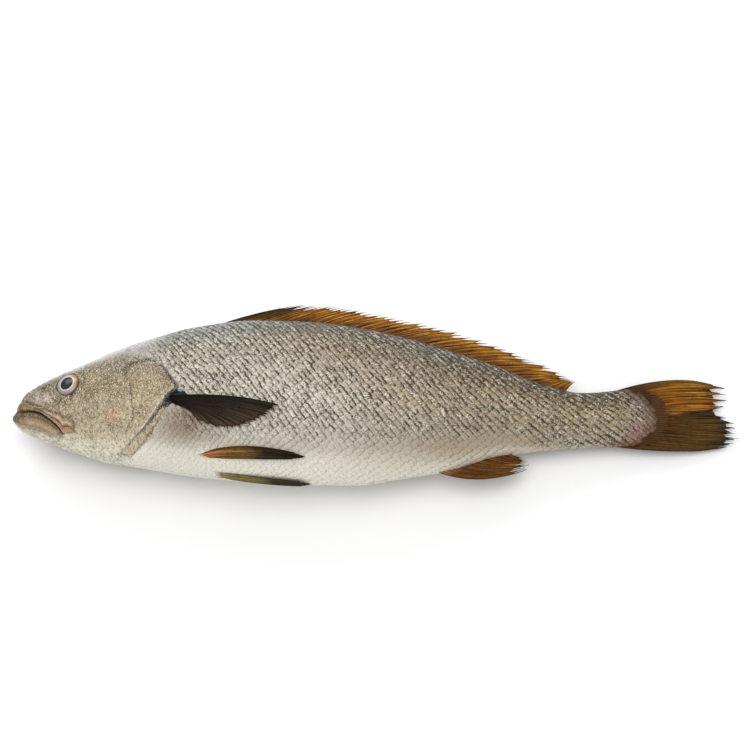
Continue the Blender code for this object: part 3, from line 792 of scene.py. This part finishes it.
def floor_finish():
    """Pale, nearly even ground."""
    finish = Finish("pale_floor")
    place = finish.place()
    colour = finish.mix((0.86, 0.86, 0.86), (0.9, 0.9, 0.9), finish.grain(place, 3.0))
    finish.set(Base_Color=colour, Roughness=0.6)
    return finish.material


# Meshes

def place_piece(name, mesh, material):
    """Shades a mesh smooth and puts it in the scene, with its place in its vertices."""
    mesh.shade_smooth()
    mesh.materials.append(material)
    piece = bpy.data.objects.new(name, mesh)
    bpy.context.scene.collection.objects.link(piece)
    return piece


def finish_piece(name, bm, material, merge=None):
    """Turns a bmesh into a piece, with its vertices merged first where the merge distance is given."""
    if merge:
        bmesh.ops.remove_doubles(bm, verts=bm.verts[:], dist=merge)
    bmesh.ops.recalc_face_normals(bm, faces=bm.faces[:])
    mesh = bpy.data.meshes.new(name)
    bm.to_mesh(mesh)
    bm.free()
    return place_piece(name, mesh, material)


def with_alpha(paint):
    """Adds the fourth number, 1, that a colour mark needs."""
    return np.concatenate((paint, np.ones((*paint.shape[:-1], 1))), -1)


def grid_piece(points, pigment, **marks):
    """A bmesh grid over points (rows, columns, 3) with its pigment and other marks on the vertices."""
    rows, columns = points.shape[:2]
    bm = bmesh.new()
    bmesh.ops.create_grid(bm, x_segments=columns - 1, y_segments=rows - 1, size=1.0)
    layers = [(bm.verts.layers.float_color.new("pigment"), with_alpha(pigment).reshape(-1, 4).tolist())]
    for name, values in marks.items():
        if values.ndim == 2:
            layers.append((bm.verts.layers.float.new(name), values.ravel().tolist()))
        else:
            layers.append((bm.verts.layers.float_vector.new(name), values.reshape(-1, 3).tolist()))
    verts = list(bm.verts)
    for vert, point in zip(verts, points.reshape(-1, 3)):
        vert.co = point
    for layer, values in layers:
        for vert, value in zip(verts, values):
            vert[layer] = value
    return bm


def steps_by(spacing, end):
    """Positions from 0 to end whose gaps follow the spacing curve."""
    found = [0.0]
    while found[-1] < end:
        found.append(found[-1] + float(curve(np.array(found[-1]), spacing)))
    found = np.array(found)
    return found * (end / found[-1])


# The gaps between the skin's rings, the ring that lies on the gill opening, and the points round one side
SKIN_RINGS = np.array((
    (0, 0.35), (8, 0.6), (60, 0.72), (100, 0.85), (140, 1.1), (180, 2.4), (480, 2.8), (545, 1.2),
))
GILL_RING = 115.0
GILL_RING_FADE = 120.0
SKIN_COLUMNS = 110
MERGE = 0.002 * MM


def skin_turns():
    """turn round both sides, closest together on the widest line, and the side of each."""
    share = np.linspace(-0.5, 0.5, SKIN_COLUMNS * 2 + 1)
    density = 1 + 1.6 * hump(share, 0.09)
    passed = np.concatenate(((0,), np.cumsum((density[1:] + density[:-1]) / 2)))
    turns = np.interp(np.linspace(0, passed[-1], SKIN_COLUMNS + 1), passed, share + 0.5)
    sides = np.concatenate((np.ones(len(turns)), -np.ones(len(turns) - 1)))
    return np.concatenate((turns, turns[-2::-1])), sides


def bareness(s, v):
    """1 on the head's own skin, with its speckles, 0 beneath the scales, less on the nape and lips."""
    level = body_level(s, v)
    past = s - curve(v, GILL_EDGE)
    past = np.minimum(past, np.where(v < -30, s - curve(v, THROAT_EDGE) - 1, past))
    bare = 1 - ease(past / 3) * ease((level + 0.95) / 0.15)
    bare = bare * (1 - 0.5 * ease((level - 0.6) / 0.3) * ease((s - 50) / 30))
    away, upper, lower = mouth_place(s, v)
    in_mouth = ease((lower + away) / 2) * ease((upper - away) / 2) * (s < JAW_END)
    return bare * (1 - ease((s - 470) / 30)) * (1 - 0.55 * in_mouth)


def build_skin(material):
    """The whole skin, a closed tube of rings that bend along the gill opening."""
    around, sides = skin_turns()
    s, turn = np.meshgrid(steps_by(SKIN_RINGS, BODY_LENGTH), around, indexing="ij")
    v, _ = body_point(s, turn)
    follow = ease(s / GILL_RING) * (1 - ease((s - GILL_RING) / GILL_RING_FADE))
    s = s + (curve(v, GILL_EDGE) - GILL_RING) * follow
    v, w = body_point(s, turn)
    points = on_skin(s, turn, np.broadcast_to(sides, s.shape))
    points[:, -1] = points[:, 0]
    bm = grid_piece(points, skin_pigment(s, v, w), bare=bareness(s, v))
    return finish_piece("skin", bm, material, merge=MERGE)


# The flank's table: where it starts along s, its step, and its reach up and down round the body
TABLE_START = 50.0
TABLE_STEP = 3.0
ARC_START, ARC_END = -90.0, 160.0


def flank_table():
    """turn at every s and arc length from the lateral line, as a regular table."""
    along = np.arange(TABLE_START, BODY_LENGTH, TABLE_STEP)
    turns = np.linspace(0, 1, 161)
    s, turn = np.meshgrid(along, turns, indexing="ij")
    body = bare_body(s, turn)
    passed = np.linalg.norm(np.diff(body, axis=1), axis=2).cumsum(1)
    arc = np.concatenate((np.zeros((len(along), 1)), passed), 1)
    line = curve(along, LATERAL_LINE)
    arcs = np.arange(ARC_START, ARC_END, 1.0)
    table = np.empty((len(along), len(arcs)))
    for i in range(len(along)):
        start = np.interp(-line[i], -body[i, :, 1], arc[i])
        table[i] = np.interp(arcs + start, arc[i], turns, left=-0.01, right=1.01)
    return table


def look_up(table, s, arc):
    """turn at s and an arc length from the lateral line, between the table's rows and columns."""
    x = np.clip((s - TABLE_START) / TABLE_STEP, 0, table.shape[0] - 1.001)
    y = np.clip(arc - ARC_START, 0, table.shape[1] - 1.001)
    i, j = x.astype(int), y.astype(int)
    fx, fy = x - i, y - j
    low = table[i, j] * (1 - fy) + table[i, j + 1] * fy
    high = table[i + 1, j] * (1 - fy) + table[i + 1, j + 1] * fy
    return low * (1 - fx) + high * fx


FIRST_SCALE, LAST_SCALE = 70.0, 538.0


def scale_centres(table):
    """s, v, arc from the lateral line and row number of every scale on one side."""
    even = [FIRST_SCALE]
    while even[-1] < LAST_SCALE:
        even.append(even[-1] + float(curve(np.array(even[-1]), SCALE_STEP)))
    even = np.array(even)
    odd = (even[1:] + even[:-1]) / 2
    rows = [(odd if k % 2 else even, k) for k in range(-ROWS_UP, ROWS_DOWN + 1)]
    s = np.concatenate([along for along, _ in rows])
    row = np.concatenate([np.full(len(along), k) for along, k in rows])
    arc = row * curve(s, ROW_GAP)
    turn = look_up(table, s, arc)
    v, _ = body_point(s, np.clip(turn, 0, 1))
    under_throat = (v < -30) & (s < curve(v, THROAT_EDGE) + 2)
    scaled = (past_head(s, v) > 4.2) & (s < scaled_end(v)) & ~in_axil(s, v) & ~under_throat
    kept = (turn > 0.006) & (turn < 0.994) & scaled
    return s[kept], v[kept], arc[kept], row[kept]


def scale_strength(s, v):
    """How clearly the scales stand out: faint on belly, nape, throat and at the tail fin."""
    level = body_level(s, v)
    strong = 0.02 + 0.98 * ease((level + 0.76 + 0.5 * ease((s - 390) / 70)) / 0.42)
    strong = strong * (1 - 0.8 * ease((142 - s) / 40) * ease((v - 4) / 12))
    strong = strong * (1 - 0.75 * ease((158 - s) / 20) * ease((-26 - v) / 8))
    return strong * (0.15 + 0.85 * ease((scaled_end(v) - s) / 18))


# One scale's grid: along it from its sunk front edge to its free hind edge and under it, and across it
ALONG_SCALE = np.array((0.0, 0.4, 0.75, 1.0, 1.04))
ACROSS_SCALE = np.array((-0.93, -0.5, 0.0, 0.5, 0.93))
SCALE_FRONT, SCALE_HIND = 0.62, 0.74
SCALE_OVERLAP = 1.1
SCALE_LIFT, SCALE_SINK = 0.34, 0.1


def build_scales(name, side, table, material):
    """All the scales of one side as one mesh: each is a rounded plate, sunk in front and free behind."""
    s, v, arc, row = scale_centres(table)
    count = len(s)
    along, across = (grid[None] for grid in np.meshgrid(ALONG_SCALE, ACROSS_SCALE, indexing="ij"))
    share = np.minimum(along, 1.0)
    front = -SCALE_FRONT * (1 - across ** 2)
    hind = SCALE_HIND * (1 - np.abs(across) ** 1.7)
    jitter = random.normal(0, 1, (count, 4))
    longer, shifted, wider, higher = (jitter[:, k, None, None] for k in range(4))
    step, gap = (curve(s, spacing)[:, None, None] for spacing in (SCALE_STEP, ROW_GAP))
    x = (front + (hind - front) * share) * step * (1 + 0.06 * longer) + 0.5 * shifted
    y = -across * gap * SCALE_OVERLAP * (1 + 0.05 * wider) + 0.2 * wider
    strong = scale_strength(s, v)
    raised = (SCALE_LIFT + 0.06 * higher) * (0.15 + 0.75 * strong[:, None, None])
    lift = 0.04 + raised * share ** 1.3 * ease((across + 1.1) / 1.4)
    lift = np.where(along > 1.0, -SCALE_SINK, lift)
    scale_s = s[:, None, None] + x
    turn = np.clip(look_up(table, scale_s, arc[:, None, None] + y), 0.001, 0.999)
    points = on_skin(scale_s, turn, side, lift)
    strong = strong * np.clip(1 + 0.35 * jitter[:, 3], 0.2, 1.4)
    tone = 1 - (1 - np.clip(0.45 * random.normal(0, 1, count), -1, 1)) * (0.2 + 0.8 * strong)
    paint = flank_pigment(s, v) * (1 + 0.05 * strong[:, None] * random.normal(0, 1, (count, 1)))
    plate = np.stack(np.broadcast_arrays(across, along, tone[:, None, None]), -1)
    marks = (
        ("plate", "FLOAT_VECTOR", "vector", plate),
        ("pigment", "FLOAT_COLOR", "color", with_alpha(paint)[:, None, None]),
        ("edge", "FLOAT", "value", strong[:, None, None, None]),
        ("lateral", "FLOAT", "value", (row == 0)[:, None, None, None]),
    )
    return plates_piece(name, points, marks, side, material)


def plates_piece(name, points, marks, side, material):
    """One mesh of plates from points (plates, rows, columns, 3), with marks that spread over each plate."""
    count, rows, columns = points.shape[:3]
    block = np.arange(rows * columns).reshape(rows, columns)
    corners = [block[:-1, :-1], block[:-1, 1:], block[1:, 1:], block[1:, :-1]]
    quad = np.stack(corners if side < 0 else corners[::-1], -1).reshape(-1, 4)
    quads = (quad[None] + np.arange(count)[:, None, None] * rows * columns).reshape(-1, 4)
    mesh = bpy.data.meshes.new(name)
    mesh.from_pydata(points.reshape(-1, 3), (), quads)
    for mark, kind, field, values in marks:
        layer = mesh.attributes.new(mark, kind, "POINT")
        spread = np.broadcast_to(values, (count, rows, columns, values.shape[-1]))
        layer.data.foreach_set(field, np.ascontiguousarray(spread, np.float32).ravel())
    return place_piece(name, mesh, material)


def turn_of(s, v):
    """turn of the place on the bare body at s and v."""
    turns = np.linspace(0, 1, 400)
    found, _ = body_point(np.full(400, float(s)), turns)
    return float(np.interp(-v, -found, turns))


def build_eye(name, side, material):
    """A flattened ball set in the socket, turned to the skin round it."""
    s, turn = EYE[0], turn_of(*EYE)
    spots = np.array(((s, turn), (s + 6, turn), (s - 6, turn), (s, turn + 0.05), (s, turn - 0.05)))
    flat = bare_body(spots[:, 0], spots[:, 1])
    middle, ahead, behind, low, high = lie_down(flat[:, 0], flat[:, 1], flat[:, 2] * side)
    forward = Vector(ahead - behind).normalized()
    upward = Vector(high - low)
    upward = (upward - forward * upward.dot(forward)).normalized()
    out = forward.cross(upward)
    out = out * (1 if out.z * side > 0 else -1)
    bm = bmesh.new()
    bmesh.ops.create_uvsphere(bm, u_segments=64, v_segments=40, radius=1.0)
    layer = bm.verts.layers.float_vector.new("iris")
    for vert in bm.verts:
        x, y, z = vert.co.x * EYEBALL[0], vert.co.y * EYEBALL[1], vert.co.z
        vert[layer] = (x, y, z)
        vert.co = Vector(middle) + (forward * x + upward * y + out * (z * EYEBALL[2] - EYE_SINK)) * MM
    return finish_piece(name, bm, material)


# Fins

def between_keys(keys, end, across):
    """The roots, bows or tips (end 1, 2 or 3 of each key ray) at the shares across."""
    shares = np.array([key[0] for key in keys], float)
    ends = np.array([key[end] for key in keys], float)
    return np.stack([curve(across, np.stack((shares, ends[:, axis]), 1)) for axis in range(3)], -1)


def fin_surface(keys, across, t):
    """Points s, v, w of a fin between key rays (share across, root, bow, tip), t along each ray."""
    root, bow, tip = (between_keys(keys, end, across) for end in (1, 2, 3))
    t = t[..., None]
    return (1 - t) ** 2 * root + 2 * t * (1 - t) * bow + t * t * tip


def bunched(across, length, bunches):
    """Ray lengths with each bunch pointed, and how far its rays gather towards its middle.

    bunches are the shares across at which wet rays part, and how deep each part is.
    """
    ends = np.array((0.0, *[gap for gap, _ in bunches], 1.0))
    depths = np.array((bunches[0][1], *[depth for _, depth in bunches], bunches[-1][1]))
    i = np.clip(np.searchsorted(ends, across, side="right") - 1, 0, len(ends) - 2)
    middle = (ends[i] + ends[i + 1]) / 2
    beside = np.abs(across - middle) / (ends[i + 1] - ends[i]) * 2
    return length - np.interp(across, ends, depths) * beside ** 3, middle - across


def thicken(piece, weight, thickness):
    """Gives a sheet its thickness, less where the weight of a vertex is less."""
    group = piece.vertex_groups.new(name="ribs")
    for index, share in enumerate(weight.ravel().tolist()):
        group.add([index], share, "REPLACE")
    ribs = piece.modifiers.new("ribs", "SOLIDIFY")
    ribs.thickness = thickness * MM
    ribs.offset = 0.0
    ribs.vertex_group = group.name


COLUMNS_PER_RAY = 6
FORK_DEPTH = 0.02
GATHER, GATHER_FROM = 0.75, 0.72
TIP_THINNING = 0.62


def build_fin(name, keys, rays, rows, thickness, paint, material, pleat=0.5, notch=0.08, ragged=0.04,
              seat=None, lowest=None, web_thickness=0.35, bunches=()):
    """A fin of ribbed rays with thin webs between them.

    paint gives its colour from the share across, the place along the rays and the web. pleat, in millimetres,
    lifts rays over webs. notch and ragged shorten webs and worn rays by a share. seat puts the fin on the
    body, and lowest lays it flat at that height instead.
    """
    across = np.linspace(0, 1, rays * COLUMNS_PER_RAY + 1)
    phase = across * rays
    web = np.sin(np.pi * (phase % 1.0))
    wear = random.uniform(0, 1, rays + 2)
    ray_wear, web_wear = wear[np.floor(phase + 0.5).astype(int)], wear[np.floor(phase).astype(int)]
    forked = np.sin(np.pi * ((phase * 2) % 1.0))
    length = 1 - notch * web ** 0.7 * (0.5 + web_wear) - ragged * ray_wear - FORK_DEPTH * forked
    gather = 0.0
    if bunches:
        length, gather = bunched(across, length, bunches)
    t = np.linspace(0, 1, rows)[:, None] * length[None]
    gathered = across + GATHER * gather * ease((t - GATHER_FROM) / (1 - GATHER_FROM))
    s, v, w = np.moveaxis(fin_surface(keys, gathered, t), -1, 0)
    w = w + pleat * (0.5 - web)[None] * ease(t * 3) * (1 - 0.3 * t)
    if lowest is not None:
        points = lie_down(s, v, np.full(s.shape, -99.0), lowest + 0.1 * (1 - web))
    else:
        points = lie_down(s, *(seat(s, v, w) if seat else (v, w)))
    share, web = np.broadcast_to(across, t.shape), np.broadcast_to(web, t.shape)
    ray = np.stack((np.broadcast_to(phase, t.shape), t, web), -1)
    piece = finish_piece(name, grid_piece(points, paint(share, t, web), ray=ray), material)
    thicken(piece, (1 - (1 - web_thickness) * web ** 0.6) * (1 - TIP_THINNING * t), thickness)
    return piece


def on_flank(side):
    """Seats a fin on one flank: its w is then its height over the skin."""
    return lambda s, v, w: (v, side * (half_width_at(s, v) + w))


def on_belly(s, v, w):
    """Seats a fin under the belly: its v is then its height over the skin, downwards."""
    top, bottom, half, widest, power = section(s)
    inside = np.clip(1 - np.abs(w / half) ** power, 0.05, 1.0)
    return widest - (widest - bottom) * inside ** (1 / power) - v, w


# The back fin: where its root starts and ends, how far back its rays lean, and its tips' height over the back
DORSAL_START, DORSAL_END = 160.0, 457.0
DORSAL_LEAN = np.array((
    (160, 62), (190, 60), (215, 52), (240, 44), (270, 43), (300, 45), (340, 50), (380, 52), (415, 47),
    (440, 25), (457, 10),
))
DORSAL_HEIGHT = np.array((
    (187, 8), (207, 11.5), (222, 14), (235, 16.5), (247, 18), (266, 18.5), (286, 18), (306, 17.5),
    (326, 18), (346, 19), (386, 20), (426, 19.5), (446, 18), (460, 13), (472, 8),
))
DORSAL_BOW = 3.0
DORSAL_ROOT_DEPTH = 1.5


def dorsal_keys():
    """The long back fin: spines folded far back in front, then soft rays, low at the tail end."""
    share = np.linspace(0, 1, 16)
    root_s = DORSAL_START + share * (DORSAL_END - DORSAL_START)
    tip_s = root_s + curve(root_s, DORSAL_LEAN)
    root_v = section(root_s)[0] - DORSAL_ROOT_DEPTH * ease(share / 0.1)
    tip_v = section(tip_s)[0] + curve(tip_s, DORSAL_HEIGHT)
    bow_s, bow_v = (root_s + tip_s) / 2, (root_v + tip_v) / 2 + DORSAL_BOW
    return [
        (share[k], (root_s[k], root_v[k], 0.0), (bow_s[k], bow_v[k], 0.5), (tip_s[k], tip_v[k], 0.5))
        for k in range(len(share))
    ]


# Key rays of the other fins: share across, then root, bow and tip as s, v, w
TAIL_KEYS = (
    (0.00, (478, -9, 0), (546, 21, 0), (593, 7.5, 0)),
    (0.12, (490, -12, 0), (548, 9, 1.0), (595.5, 2.5, 1.0)),
    (0.30, (505, -16, 0), (550, -6, -0.5), (595, -6.5, -0.5)),
    (0.44, (514, -21, 0), (553, -16, 0.8), (592.5, -14, 1.2)),
    (0.50, (516, -24, 0), (556, -20, -1.0), (594, -20, -1.0)),
    (0.62, (514, -28, 0), (558, -27, 0.5), (602, -28, 0.5)),
    (0.76, (508, -33, 0), (556, -36, 0), (TAIL_TIP, -36, 0)),
    (0.90, (492, -40, 0), (550, -48, -0.8), (600, -43, -0.8)),
    (1.00, (478, -46.5, 0), (542, -56, 0), (591, -47.5, 0)),
)
ANAL_KEYS = (
    (0.00, (346, -74, 0), (382, -89, 0.5), (425, -71.0, 1.5)),
    (0.25, (360, -70, 0), (393, -78, 0), (426, -68.0, 0.5)),
    (0.55, (382, -62, 0), (402, -70, 0.5), (425, -65, 0)),
    (1.00, (408, -56, 0), (414, -60.5, 0), (420, -61, 0)),
)
PECTORAL_KEYS = (
    (0.00, (133, -24.5, 0.6), (185, -24.5, 5), (224, -35.0, 3)),
    (0.30, (133, -26.4, 0.5), (180, -31, 5), (217, -40, 3)),
    (0.60, (134, -28.4, 0.4), (171, -36, 5), (202, -48.5, 2.5)),
    (0.85, (136, -30.4, 0.2), (160, -38, 5), (177, -53.0, 2.5)),
    (1.00, (138, -32.4, -0.2), (150, -36, 4.5), (156.5, -47, 2)),
)
LEFT_PELVIC_KEYS = (
    (0.0, (156, -70.5, -1), (188, -62.5, 5.0), (234, -71.5, 4.2)),
    (0.5, (156, -71.2, -1), (196, -69.0, 5.5), (244.5, -74.6, 4)),
    (1.0, (157, -72, -2), (194, -77.0, 6.0), (232, -76.0, 4.5)),
)
RIGHT_PELVIC_KEYS = (
    (0.0, (146, -3, 9), (196, 3.2, 13), (238, 2.0, 7.0)),
    (0.5, (147, -3, 5.5), (196, 3.4, 6.5), (247, 1.6, 2.0)),
    (1.0, (150, -3, 2), (196, 3.2, 0), (239, 2.0, -3.0)),
)
PRESSED_FIN_HEIGHT = 0.6

# Where the tail's wet rays part, and how deep
TAIL_BUNCHES = (
    (0.14, 0.10), (0.22, 0.12), (0.33, 0.10), (0.46, 0.10), (0.55, 0.05), (0.61, 0.06), (0.70, 0.05),
    (0.77, 0.04), (0.86, 0.04), (0.93, 0.04),
)


# The fins' paints take q across the fin, t along the rays and web, 1 between two rays

def ground(q, colour):
    return np.broadcast_to(srgb(*colour), (*q.shape, 3))


def dorsal_paint(q, t, web):
    paint = ground(q, (160, 102, 22))
    paint = wash(paint, (58, 32, 6), 0.92 * ease((0.55 - web) / 0.5))
    paint = wash(paint, (64, 48, 20), 0.9 * ease((0.16 - q) / 0.06) * ease((t - 0.05) / 0.3))
    paint = wash(paint, (94, 50, 8), 0.75 * ease((0.6 - t) / 0.4) * ease((q - 0.1) / 0.05))
    paint = wash(paint, (34, 22, 10), 0.9 * ease((t - 0.74) / 0.2))
    return wash(paint, (96, 68, 42), 0.6 * ease((0.12 - t) / 0.1))


def tail_paint(q, t, web):
    paint = ground(q, (150, 92, 16))
    paint = wash(paint, (84, 62, 22), 0.75 * ease((0.08 - q) / 0.06))
    paint = wash(paint, (84, 58, 16), ease((q - 0.45) / 0.03))
    paint = wash(paint, (52, 40, 30), 0.85 * ease((t - 0.72) / 0.2) * ease((q - 0.46) / 0.06))
    paint = wash(paint, (112, 92, 54), 0.7 * ease((t - 0.86) / 0.12) * ease((0.45 - q) / 0.1))
    for gap, _ in TAIL_BUNCHES[:4]:
        paint = wash(paint, (62, 34, 6), 0.8 * hump(q - gap, 0.012) * ease((t - 0.4) / 0.2))
    # painted shadow where the upper lobe lies over the lower one
    paint = wash(paint, (36, 22, 12), 0.9 * hump(q - 0.46, 0.02) * ease((t - 0.45) / 0.2))
    paint = wash(paint, (90, 50, 12), 0.9 * ease((0.56 - t) / 0.3))
    paint = wash(paint, (62, 46, 26), 0.9 * ease((0.40 - t) / 0.16) * ease((0.3 - q) / 0.2))
    return wash(paint, (44, 26, 8), 0.4 * ease((0.45 - web) / 0.45))


def anal_paint(q, t, web):
    paint = ground(q, (96, 54, 10))
    paint = wash(paint, (134, 92, 20), 0.7 * hump(q - 0.45, 0.15) * ease((t - 0.4) / 0.3))
    paint = wash(paint, (176, 112, 80), 0.8 * ease((0.22 - t) / 0.2) * ease((0.5 - q) / 0.4))
    paint = wash(paint, (30, 20, 10), 0.85 * ease((t - 0.8) / 0.18))
    return wash(paint, (56, 30, 8), 0.65 * ease((0.5 - web) / 0.5))


def pectoral_paint(q, t, web):
    paint = ground(q, (24, 15, 6))
    paint = wash(paint, (60, 40, 16), 0.5 * ease((0.5 - web) / 0.5) * ease((t - 0.3) / 0.3))
    paint = wash(paint, (62, 45, 14), 0.7 * ease((t - 0.6) / 0.3) * ease((q - 0.25) / 0.3))
    paint = wash(paint, (52, 28, 8), 0.5 * ease((0.5 - t) / 0.3) * hump(q - 0.55, 0.25))
    return wash(paint, (8, 6, 5), 0.7 * ease((0.22 - q) / 0.2) + 0.5 * ease((0.3 - t) / 0.2))


def pelvic_paint(q, t, web):
    paint = ground(q, (104, 78, 26))
    paint = wash(paint, (182, 98, 48), 0.85 * ease((0.36 - t) / 0.3))
    paint = wash(paint, (88, 48, 14), 0.8 * ease((0.16 - q) / 0.12) * ease((t - 0.12) / 0.1))
    paint = wash(paint, (224, 172, 118), 0.8 * hump(q - 0.34, 0.12) * ease((0.58 - t) / 0.3))
    paint = wash(paint, (18, 13, 9), 0.94 * ease((t - 0.48) / 0.2))
    return wash(paint, (64, 34, 12), 0.5 * ease((0.4 - web) / 0.4))


def far_pelvic_paint(q, t, web):
    paint = ground(q, (124, 116, 66))
    paint = wash(paint, (176, 168, 132), 0.8 * ease((0.45 - t) / 0.3))
    paint = wash(paint, (24, 20, 16), 0.94 * ease((t - 0.5) / 0.25))
    return wash(paint, (64, 50, 22), 0.5 * ease((0.4 - web) / 0.4))


def build_fins(material):
    """The seven fins. The right pectoral fin is pressed flat under the body."""
    fins = (
        {"name": "dorsal_fin", "keys": dorsal_keys(), "rays": 46, "rows": 20, "thickness": 1.2,
         "paint": dorsal_paint, "pleat": 0.6, "notch": 0.17, "ragged": 0.11, "web_thickness": 0.25},
        {"name": "tail_fin", "keys": TAIL_KEYS, "rays": 27, "rows": 40, "thickness": 2.0,
         "paint": tail_paint, "pleat": 0.7, "notch": 0.05, "ragged": 0.03, "bunches": TAIL_BUNCHES},
        {"name": "anal_fin", "keys": ANAL_KEYS, "rays": 9, "rows": 20, "thickness": 1.3,
         "paint": anal_paint, "notch": 0.14, "ragged": 0.06},
        {"name": "left_pectoral_fin", "keys": PECTORAL_KEYS, "rays": 18, "rows": 26, "thickness": 1.1,
         "paint": pectoral_paint, "pleat": 0.4, "notch": 0.05, "ragged": 0.02, "seat": on_flank(1)},
        {"name": "right_pectoral_fin", "keys": PECTORAL_KEYS, "rays": 16, "rows": 20, "thickness": 1.0,
         "paint": pectoral_paint, "lowest": PRESSED_FIN_HEIGHT},
        {"name": "left_pelvic_fin", "keys": LEFT_PELVIC_KEYS, "rays": 6, "rows": 26, "thickness": 1.5,
         "paint": pelvic_paint, "pleat": 0.6, "notch": 0.02, "ragged": 0.0, "seat": on_flank(1)},
        {"name": "right_pelvic_fin", "keys": RIGHT_PELVIC_KEYS, "rays": 6, "rows": 26, "thickness": 1.5,
         "paint": far_pelvic_paint, "pleat": 0.6, "notch": 0.02, "ragged": 0.0, "seat": on_belly},
    )
    return [build_fin(material=material, **fin) for fin in fins]


def dress():
    """Builds every piece over the solid, hangs it on the root and hides the solid's node."""
    skin = build_skin(skin_finish())
    table = flank_table()
    scales = scale_finish()
    sides = [
        build_scales(name, side, table, scales) for name, side in (("scales_left", 1), ("scales_right", -1))
    ]
    fins = build_fins(fin_finish())
    eye = eye_finish()
    eyes = [build_eye(name, side, eye) for name, side in (("left_eye", 1), ("right_eye", -1))]
    for pieces, slot in (((skin, *sides), "flank_skin"), (fins, "fin"), (eyes, "iris")):
        for piece in pieces:
            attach(piece, "root")
            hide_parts(NODE)


# Stage

FLOOR_REACH = 6.0
FLOOR_DROP = 0.0002


def build_floor():
    bm = bmesh.new()
    bmesh.ops.create_grid(bm, x_segments=1, y_segments=1, size=FLOOR_REACH)
    floor = finish_piece("floor", bm, floor_finish())
    floor.data.transform(Matrix.Translation((0, 0, -FLOOR_DROP)))


def add_lamp(name, place, aim, size, power):
    data = bpy.data.lights.new(name, "AREA")
    data.shape = "RECTANGLE"
    data.size, data.size_y = size
    data.energy = power
    lamp = bpy.data.objects.new(name, data)
    lamp.location = place
    lamp.rotation_euler = (Vector(aim) - Vector(place)).to_track_quat("-Z", "Y").to_euler()
    bpy.context.scene.collection.objects.link(lamp)


STUDIO_WHITE = 0.75


def light_stage():
    world = bpy.data.worlds.new("studio")
    world.use_nodes = True
    sky = world.node_tree.nodes["Background"].inputs
    sky["Color"].default_value = (1.0, 1.0, 1.0, 1.0)
    sky["Strength"].default_value = STUDIO_WHITE
    bpy.context.scene.world = world
    add_lamp("overhead", (-0.2, 0.15, 1.7), (0, 0, 0), (1.6, 1.2), 14)
    add_lamp("behind", (-0.5, 1.2, 0.7), (-0.05, 0.0, 0.03), (1.4, 0.6), 9)
    bpy.context.scene.view_settings.view_transform = "Standard"


CAMERA_ELEVATION = 70.0
CAMERA_DISTANCE = 1.73
CAMERA_LENS = 100.2
CAMERA_SENSOR = 36.0
AIM = (-0.0026, 0.016, 0.035)


def add_camera():
    data = bpy.data.cameras.new("camera")
    data.lens = CAMERA_LENS
    data.sensor_width = CAMERA_SENSOR
    camera = bpy.data.objects.new("camera", data)
    tilt = math.radians(CAMERA_ELEVATION)
    camera.location = Vector(AIM) + CAMERA_DISTANCE * Vector((0, -math.cos(tilt), math.sin(tilt)))
    camera.rotation_euler = (math.pi / 2 - tilt, 0, 0)
    bpy.context.scene.collection.objects.link(camera)
    bpy.context.scene.camera = camera


dress()
build_floor()
light_stage()
add_camera()
